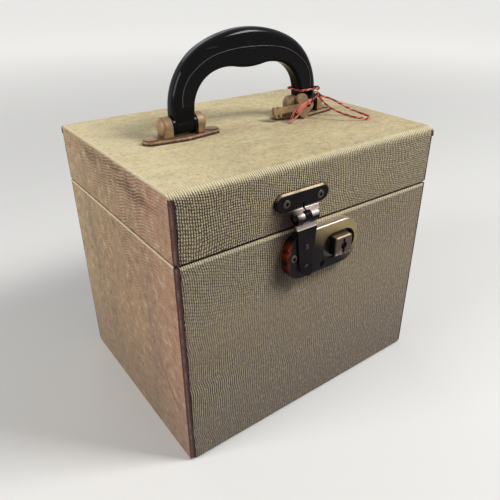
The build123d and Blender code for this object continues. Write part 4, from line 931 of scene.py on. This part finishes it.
def button_finish(context):
    """The button: worn bevels round a brown face, pitted along its lower edge, with painted shade on its left
    wall and deep inside.
    """
    look = settings(context, "fitting")
    finish = metal_finish(look, "button_plating")
    x, y, z = finish.xyz()
    low = corners("lock_button")[0]
    face = 1 - y.step(low.y + 0.15 * MM, low.y + 0.6 * MM)
    base = finish.paint.coat(look.crust, face * (0.70 + finish.noise(220.0, 3.0) * 0.3))
    lower = 1 - z.step(low.z + 5.0 * MM, low.z + 9.0 * MM)
    pits = finish.noise(430.0, 3.0).step(0.50, 0.60) * lower
    base = base.coat(look.silver, pits * face * 0.8)
    # Painted shade on the left wall and deep inside the button.
    inside = y.step(low.y + 5.0 * MM, low.y + 6.6 * MM)
    left_wall = (1 - x.step(low.x + 9.6 * MM, low.x + 10.4 * MM)) * (1 - face)
    base = base.coat(look.tarnish, (inside + left_wall).clamp() * 0.92)
    finish.set({"Base Color": base, "Metallic": (0.8 - inside * 0.6 - face * 0.5).clamp()})
    return finish


# ---------------------------------------------------------------- camera


class BOX_OT_camera(bpy.types.Operator):
    """Puts the camera at the height of a standing viewer, to the left of the front"""

    bl_idname = "box.camera"
    bl_label = "Camera"

    def execute(self, context):
        look = settings(context, "stage")
        camera = bpy.data.cameras.new("camera")
        camera.sensor_width = 36.0
        camera.lens = look.lens
        camera.shift_x, camera.shift_y = look.shift
        eye = bpy.data.objects.new("camera", camera)
        forward = Vector(look.view).normalized()
        right = forward.cross(Vector(look.upward)).normalized()
        turn = Matrix((right, right.cross(forward), -forward)).transposed().to_4x4()
        eye.matrix_world = Matrix.Translation(look.eye) @ turn
        context.collection.objects.link(eye)
        context.scene.camera = eye
        return {"FINISHED"}


# ---------------------------------------------------------------- twine

# The twine's thickness, a thread's radius as a share of it, and the step between two rings of a thread
THICK = 1.7 * MM
THREAD_SHARE = 0.235
TWINE_STEP = 0.45 * MM

# The courses of the twine's parts, in millimetres, as in the CAD
LOOP_ROUTE = [
    (64.5, -12.0, 225.5),
    (71.2, -16.9, 223.5),
    (77.4, -21.6, 219.2),
    (84.3, -28.4, 214.5),
    (90.4, -36.8, 211.6),
    (91.0, -43.6, 210.7),
    (84.8, -46.2, 210.7),
    (76.5, -42.4, 211.8),
    (70.3, -35.9, 213.9),
    (64.9, -28.6, 216.8),
    (61.3, -20.9, 221.0),
    (61.7, -14.0, 225.0),
]
TIE_ROUTE = [
    (62.0, -12.0, 226.0),
    (56.5, -15.2, 225.8),
    (52.0, -16.5, 224.2),
    (50.93, -15.27, 220.61),
    (52.12, -9.29, 219.49),
]
TAIL_ROUTES = [
    [
        (48.6, -17.1, 224.6),
        (45.2, -17.0, 223.6),
        (39.0, -16.2, 220.6),
        (33.6, -15.6, 216.9),
        (32.2, -15.5, 212.4),
    ],
    [
        (48.2, -18.6, 223.4),
        (42.6, -18.4, 221.6),
        (39.0, -18.3, 217.6),
        (35.1, -18.0, 213.4),
        (29.4, -17.8, 210.5),
    ],
    [(48.6, -18.9, 225.4), (44.2, -19.3, 224.6), (39.6, -19.0, 221.6), (35.4, -18.6, 217.6)],
]


def ring_route():
    """The ring's course round the handle's leg: a rounded rectangle whose ends meet in front."""
    low, high = corners("twine_ring")
    middle = (low + high) / 2
    half_x = (high.x - low.x) / 2 - THICK / 2
    half_y = (high.y - low.y) / 2 - THICK / 2
    rounding, starts_at, ends_at = 4.5 * MM, 0.45, 0.38
    corner = [(half_x - rounding, half_y), (half_x, half_y), (half_x, half_y - rounding)]
    places = [(half_x * starts_at, -half_y)]
    for across, along in ((1, -1), (1, 1), (-1, 1), (-1, -1)):
        turned = corner if across != along else reversed(corner)
        places += [(across * u, along * v) for u, v in turned]
    places.append((half_x * ends_at, -half_y))
    return [((middle.x + u) / MM, (middle.y + v) / MM, middle.z / MM) for u, v in places]


def laid_threads(bm, points, length, look, frayed):
    """The twine's threads, laid round each other along a line, the first one dark unless it is frayed."""
    radius = THICK * THREAD_SHARE
    offset = THICK / 2 - radius
    opens_at, opening = 0.72, 1.1
    last = len(points) - 1
    for n in range(look.strands):
        thread = []
        for i, point in enumerate(points):
            run = run_at(points, i)
            side = run.cross(Vector((0, 0, 1))).normalized()
            angle = math.tau * (n / look.strands + length * i / last / look.lay)
            loose = max(0.0, (i / last - opens_at) / (1 - opens_at)) if frayed else 0.0
            away = side * math.cos(angle) + side.cross(run) * math.sin(angle)
            thread.append(point + away * offset * (1 + opening * loose))
        known = set(bm.faces)
        sections(bm, thread, radius, 7, tip=0.55 if frayed else 1.0)
        for face in set(bm.faces) - known:
            face.material_index = 1 if n == 0 and not frayed else 0


def twine_piece(context, name, line, body, finish, frayed=False):
    """A length of twine along a line, opening out at a frayed end, and its length."""
    points, length = even(line, TWINE_STEP)
    bm = bmesh.new()
    laid_threads(bm, points, length, settings(context, "twine"), frayed)
    piece = piece_from(bm, name, body, finish)
    piece.data.materials.append(bpy.data.materials["dark_thread"])
    return piece, length


def knot_piece(name, body, finish, centre, radius, turn):
    """A thumb knot pulled tight: a trefoil."""
    steps, size, thread = 66, radius * 0.23, radius * 0.40
    loops = []
    for i in range(steps + 1):
        angle = math.tau * i / steps
        x = math.sin(angle) + 2 * math.sin(2 * angle)
        y = math.cos(angle) - 2 * math.cos(2 * angle)
        z = -1.5 * math.sin(3 * angle)
        loops.append(Vector((x, y, z)) * size)
    bm = bmesh.new()
    sections(bm, loops, thread, 8)
    tilt = Matrix.Translation(Vector(centre)) @ Matrix.Rotation(turn, 4, (1, 1, 0))
    bmesh.ops.transform(bm, matrix=tilt, verts=bm.verts)
    return piece_from(bm, name, body, finish)


def end_fibres(bm, rng):
    """Fibres that spread from the tails' ends and come to lie on the lid."""
    count, rooted, spread, radius, lowest = 5, 1.2 * MM, 0.35, 0.14 * MM, TOP + 0.25 * MM
    for route in TAIL_ROUTES:
        end = Vector(route[-1]) * MM
        run = (end - Vector(route[-2]) * MM).normalized()
        start = end - run * rooted
        for _ in range(count):
            lean = Vector((rng.uniform(-1, 1), rng.uniform(-1, 1), rng.uniform(-0.2, 0.8))) * spread
            way = (run + lean).normalized()
            reach = rng.uniform(1.6, 3.0) * MM
            sag = Vector((0, 0, -0.1 * reach))
            fibre = [start + way * reach * s + sag * s * s for s in (0, 0.4, 0.8, 1)]
            for spot in fibre:
                spot.z = max(spot.z, lowest)
            sections(bm, fibre, radius, 5, tip=0.4)


def stray_fibres(bm, rng, line):
    """Fine fibres that stand off the loop, apart from those that would reach into the lid."""
    count, curl, radius, lowest = 90, 0.5, 0.045 * MM, TOP + 0.2 * MM
    for _ in range(count):
        spot = rng.choice(line)
        way, bend = (Vector([rng.gauss(0, 1) for _ in range(3)]).normalized() for _ in range(2))
        reach = rng.uniform(0.9, 1.7) * MM
        fibre = [spot + (way * s + bend * curl * s * s) * reach for s in (0.3, 0.6, 0.9, 1.2)]
        if min(p.z for p in fibre) > lowest:
            sections(bm, fibre, radius, 4, tip=0.5)


def fray_piece(finish, line):
    """All loose fibres of the twine."""
    rng = random.Random(7)
    bm = bmesh.new()
    end_fibres(bm, rng)
    stray_fibres(bm, rng, line)
    return piece_from(bm, "twine_fray", "lid", finish)


def lay_ring(context, finish, dark):
    """The ring round the handle's leg and its knot."""
    line = route_points(ring_route())
    ring, length = twine_piece(context, "twine_ring_laid", line, "handle", finish)
    low, high = corners("twine_ring_knot")
    radius, turn = 2.0 * MM, 0.6
    knot = knot_piece("twine_ring_knot_laid", "handle", dark, (low + high) / 2, radius, turn)
    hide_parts("twine_ring")
    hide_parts("twine_ring_knot")


def tie_and_tails(context, finish):
    """The lashing through the keys' bows, and the frayed tails that leave it."""
    tie, _ = twine_piece(context, "twine_tie_laid", route_points(TIE_ROUTE), "lid", finish)
    tails = [
        twine_piece(context, f"twine_tail_{n}", route_points(route), "lid", finish, frayed=True)[0]
        for n, route in enumerate(TAIL_ROUTES, 1)
    ]
    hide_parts("twine_tie")
    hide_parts("twine_tails")
    return [tie, *tails]


def loop_knots(dark):
    """The knots at the leg and on the front key's bow."""
    knots = []
    for node, turn in (("twine_knot", 0.4), ("twine_bow_knot", 1.7)):
        low, high = corners(node)
        radius = (high.x - low.x) / 2
        knots.append(knot_piece(node + "_laid", "lid", dark, (low + high) / 2, radius, turn))
        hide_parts(node)
    return knots


def lay_loop(context, finish, dark):
    """The long loop, with the knots, the tie, the tails and the loose fibres that go with it."""
    line = route_points(LOOP_ROUTE)
    loop, length = twine_piece(context, "twine_loop_laid", line, "lid", finish)
    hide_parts("twine_loop")
    others = [*loop_knots(dark), *tie_and_tails(context, finish), fray_piece(finish, line)]


class BOX_OT_twine(bpy.types.Operator):
    """Lays the red twine: ring, loop, tie, knots and frayed tails"""

    bl_idname = "box.twine"
    bl_label = "Twine"

    def execute(self, context):
        finish = twine_finish(context, False)
        dark = twine_finish(context, True)
        lay_loop(context, finish, dark)
        lay_ring(context, finish, dark)
        return {"FINISHED"}


# ---------------------------------------------------------------- box


class BOX_OT_coverings(bpy.types.Operator):
    """Covers the box: front, back, sides, corner strips and underside"""

    bl_idname = "box.coverings"
    bl_label = "Coverings"

    def execute(self, context):
        dress(front_finish(context, "khaki_front", False), "base_front_covering", "base_back_covering")
        dress(front_finish(context, "khaki_lid", True), "lid_band_covering")
        sides = side_finish(context, "tan_side")
        dress(sides, "base_left_covering", "base_right_covering", "lid_left_covering", "lid_right_covering")
        dress(sides, "base_bottom_covering")
        dress(strip_finish(context), "base_corner_strips", "lid_corner_strips")
        return {"FINISHED"}


class BOX_OT_carcass(bpy.types.Operator):
    """Stains the boards and papers the inside"""

    bl_idname = "box.carcass"
    bl_label = "Boards and lining"

    def execute(self, context):
        dress(board_finish(context), *[n for n in frame["nodes"] if n.endswith("_board")])
        dress(lining_finish(context), "base_lining", "lid_lining")
        return {"FINISHED"}


# ---------------------------------------------------------------- handle

# Half of the line where the outer half of the grip steps down to the palm half, from the crown to the leg,
# as places across the handle and above its pins, in millimetres
LEDGE_STOPS = [(0.0, 48.1), (24.0, 46.3), (50.0, 33.8), (57.7, 12.8)]


def tangent_arc(start, way, end, steps=14):
    """Points of the arc that leaves start along way and reaches end, and its last direction."""
    chord = end - start
    turn = -way.angle_signed(chord)
    radius = chord.length / (2 * math.sin(turn))
    places = []
    for i in range(1, steps + 1):
        half = turn * i / steps
        places.append(start + Matrix.Rotation(half, 2) @ way * (2 * radius * math.sin(half)))
    return places, Matrix.Rotation(2 * turn, 2) @ way


def ledge_line(side):
    """The ledge's line over the grip, on the front (-1) or back (1) of the handle."""
    way = Vector((1.0, 0.0))
    place = Vector(LEDGE_STOPS[0]) * MM
    half = [place]
    for stop in LEDGE_STOPS[1:]:
        arc, way = tangent_arc(place, way, Vector(stop) * MM)
        half += arc
        place = arc[-1]
    sunk = 0.32 * MM
    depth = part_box("handle_grip")[1][1] - sunk
    right = [Vector((p.x, side * depth, PIVOT + p.y)) for p in half]
    return [Vector((-p.x, p.y, p.z)) for p in reversed(right[1:])] + right


def ledge_bead(finish):
    """The bead along the grip's ledge, front and back, greyed as wear and painted highlight."""
    radius = 0.42 * MM
    bm = bmesh.new()
    for side in (-1, 1):
        sections(bm, ledge_line(side), radius, 8)
    piece_from(bm, "handle_ledge_bead", "handle", finish)


def foot_caps(finish):
    """The domed outer faces of the feet's lugs."""
    bulge, radius = 2.3 * MM, 6.1 * MM
    bm = bmesh.new()
    for foot in ("handle_foot_left", "handle_foot_right"):
        low, high = corners(foot)
        for outward in (-1, 1):
            place = ((low.x + high.x) / 2 + outward * LUG_REACH, 0, PIVOT)
            dome(bm, place, (bulge, radius, radius), 32)
    piece_from(bm, "handle_foot_caps", "lid", finish)


class BOX_OT_handle(bpy.types.Operator):
    """Finishes the moulded handle and its two cast feet"""

    bl_idname = "box.handle"
    bl_label = "Handle and feet"

    def execute(self, context):
        look = settings(context, "fitting")
        dress(handle_finish(context, "black_moulding", 0.0), "handle_grip")
        # The ledge bead's grey is wear and painted highlight.
        ledge_bead(handle_finish(context, "worn_moulding", 0.16))
        dress(foot_finish(context), "handle_foot_left", "handle_foot_right")
        foot_caps(metal_finish(look, "cap_casting"))
        dress(rivet_finish(context), "handle_rivets", "handle_pin_left", "handle_pin_right")
        dress(metal_finish(look, "washer_steel"), "handle_washers")
        return {"FINISHED"}


class BOX_OT_hinges(bpy.types.Operator):
    """Finishes the two back hinges"""

    bl_idname = "box.hinges"
    bl_label = "Hinges"

    def execute(self, context):
        look = settings(context, "fitting")
        leaves = [node for node in frame["nodes"] if node.startswith("hinge_") and "leaf" in node]
        pins = ("hinge_pin_left", "hinge_pin_right", "hinge_base_rivets", "hinge_lid_rivets")
        dress(metal_finish(look, "hinge_steel"), *leaves)
        dress(metal_finish(look, "pin_steel"), *pins)
        return {"FINISHED"}


# ---------------------------------------------------------------- latch


def spring_piece(finish):
    """The button's return spring, as a coil of wire."""
    low, high = corners("lock_spring")
    middle = (low + high) / 2
    wire, turns, steps = 0.25 * MM, 7, 18
    start = Vector((low.x + wire, middle.y, high.z - wire))
    across = Matrix.Translation(start) @ Matrix.Rotation(math.pi / 2, 4, "X")
    bm = bmesh.new()
    bmesh.ops.create_circle(bm, segments=8, radius=wire, matrix=across)
    bmesh.ops.spin(
        bm,
        geom=bm.verts[:] + bm.edges[:],
        cent=middle,
        axis=(1, 0, 0),
        dvec=((high.x - low.x - 2 * wire) / (turns * steps), 0, 0),
        angle=math.tau * turns,
        steps=turns * steps,
    )
    bmesh.ops.holes_fill(bm, edges=[e for e in bm.edges if e.is_boundary], sides=0)
    coil = piece_from(bm, "lock_spring_coil", "base", finish)
    travel = next(joint["range_m"][1] for joint in frame["joints"] if joint["name"] == "button_slide")
    shortest = 1 - travel / (high.x - low.x)
    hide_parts("lock_spring")
    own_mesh(coil)


def peened_ends(finish):
    """The staple's two peened ends on the face of the hasp's leaf."""
    low, high = corners("hasp_staple")
    inset, sunk, bulge, radius = 1.5 * MM, 0.25 * MM, 0.8 * MM, 1.9 * MM
    bm = bmesh.new()
    for height in (low.z + inset, high.z - inset):
        dome(bm, ((low.x + high.x) / 2, low.y + sunk, height), (radius, bulge, radius), 24)
    piece_from(bm, "hasp_peened_ends", "hasp", finish)


class BOX_OT_latch(bpy.types.Operator):
    """Finishes the hasp, the lock and its sliding button"""

    bl_idname = "box.latch"
    bl_label = "Hasp and lock"

    def execute(self, context):
        look = settings(context, "fitting")
        dress(plate_finish(context), "hasp_plate", "lock_case_rivet")
        dress(leaf_finish(context), "hasp_leaf")
        dress(case_finish(context), "lock_case")
        dress(button_finish(context), "lock_button")
        eyelets = metal_finish(look, "eyelet_plating")
        dress(eyelets, "hasp_plate_eyelets", "lock_case_eyelet", "hasp_pin", "hasp_staple")
        inner = metal_finish(look, "inner_steel")
        dress(inner, "lock_backplate", "lock_bolt", "lock_cam")
        spring_piece(inner)
        peened_ends(metal_finish(look, "peened_ends"))
        return {"FINISHED"}


class BOX_OT_keys(bpy.types.Operator):
    """Finishes the two keys"""

    bl_idname = "box.keys"
    bl_label = "Keys"

    def execute(self, context):
        dress(metal_finish(settings(context, "fitting"), "key_brass"), "key_front", "key_back")
        return {"FINISHED"}


# ---------------------------------------------------------------- stage

FLOOR_REACH = 6.0

# Each soft light's place, the point it faces, and its two sizes, in metres
PANELS = {
    "key": ((0.70, -0.68, 1.16), (0, 0, 0.12), (0.45, 0.45)),
    "side": ((-1.3, 0.15, 0.8), (0, 0, 0.15), (0.6, 0.8)),
    "rear": ((0.1, 1.1, 1.1), (0, 0, 0.2), (0.9, 0.5)),
}


def panel_light(name, watts):
    """One of the soft lights."""
    place, aim, size = PANELS[name]
    lamp = bpy.data.lights.new(name, "AREA")
    lamp.shape = "RECTANGLE"
    lamp.size, lamp.size_y = size
    lamp.energy = watts
    holder = bpy.data.objects.new(name, lamp)
    holder.location = place
    holder.rotation_euler = (Vector(aim) - Vector(place)).to_track_quat("-Z", "Y").to_euler()
    bpy.context.collection.objects.link(holder)


def paper_finish(look):
    """Pale floor, which shows its own colour far off, so that it meets the background without a line."""
    paper = Finish("floor_paper")
    near, distant = 0.45, 2.2
    x, y, _ = paper.xyz()
    far = (x * x + y * y).math("SQRT").step(near, distant)
    seen = paper.seen()
    glow = paper.blend(far * seen * look.glow, (0, 0, 0), look.floor)
    cloth = paper.blend(seen, look.bounce, look.floor)
    paper.set({"Base Color": cloth, "Roughness": 0.9, "Emission Color": glow, "Emission Strength": 1.0})
    return paper


def floor_sheet(finish):
    """A flat sheet under the box."""
    bm = bmesh.new()
    bmesh.ops.create_grid(bm, x_segments=1, y_segments=1, size=FLOOR_REACH)
    mesh = bpy.data.meshes.new("floor")
    bm.to_mesh(mesh)
    bm.free()
    mesh.materials.append(finish.material)
    floor = bpy.data.objects.new("floor", mesh)
    bpy.context.collection.objects.link(floor)


def sky_light(look):
    """An even light all round, behind which a pale wall shows."""
    sky = Sky("sky")
    lit, wall = (
        sky.value("ShaderNodeBackground", None, {"Color": (0.97, 0.98, 1.0), "Strength": strength})
        for strength in (look.sky, look.wall)
    )
    sky.feed(sky.surface, sky.value("ShaderNodeMixShader", None, {0: sky.seen(), 1: lit, 2: wall}))
    return sky


class BOX_OT_stage(bpy.types.Operator):
    """Makes the floor, the even sky and the soft lights"""

    bl_idname = "box.stage"
    bl_label = "Stage"

    def execute(self, context):
        look = settings(context, "stage")
        floor_sheet(paper_finish(look))
        context.scene.world = sky_light(look).world
        for name in PANELS:
            panel_light(name, getattr(look, name))
        context.scene.view_settings.view_transform = "Standard"
        return {"FINISHED"}


# ---------------------------------------------------------------- panel

STEPS = (
    BOX_OT_camera,
    BOX_OT_twine,
    BOX_OT_coverings,
    BOX_OT_carcass,
    BOX_OT_handle,
    BOX_OT_hinges,
    BOX_OT_latch,
    BOX_OT_keys,
    BOX_OT_stage,
)
GROUPS = {
    "covering": CoveringSettings,
    "fitting": FittingSettings,
    "twine": TwineSettings,
    "stage": StageSettings,
}


class BOX_PT_panel(bpy.types.Panel):
    """Lists the box's steps and settings"""

    bl_idname = "BOX_PT_panel"
    bl_label = "Attachment box"
    bl_space_type = "VIEW_3D"
    bl_region_type = "UI"
    bl_category = "Box"

    def draw(self, context):
        for step in STEPS:
            self.layout.operator(step.bl_idname)
        for group, kind in GROUPS.items():
            for name in kind.__annotations__:
                self.layout.prop(settings(context, group), name)


def register():
    for group, kind in GROUPS.items():
        bpy.utils.register_class(kind)
        setattr(bpy.types.Scene, "box_" + group, PointerProperty(type=kind))
    for kind in (*STEPS, BOX_PT_panel):
        bpy.utils.register_class(kind)


def unregister():
    for kind in (BOX_PT_panel, *reversed(STEPS)):
        bpy.utils.unregister_class(kind)
    for group, kind in GROUPS.items():
        delattr(bpy.types.Scene, "box_" + group)
        bpy.utils.unregister_class(kind)


def main():
    register()
    for step in STEPS:
        group, name = step.bl_idname.split(".")
        getattr(getattr(bpy.ops, group), name)()


if __name__ == "__main__":
    main()
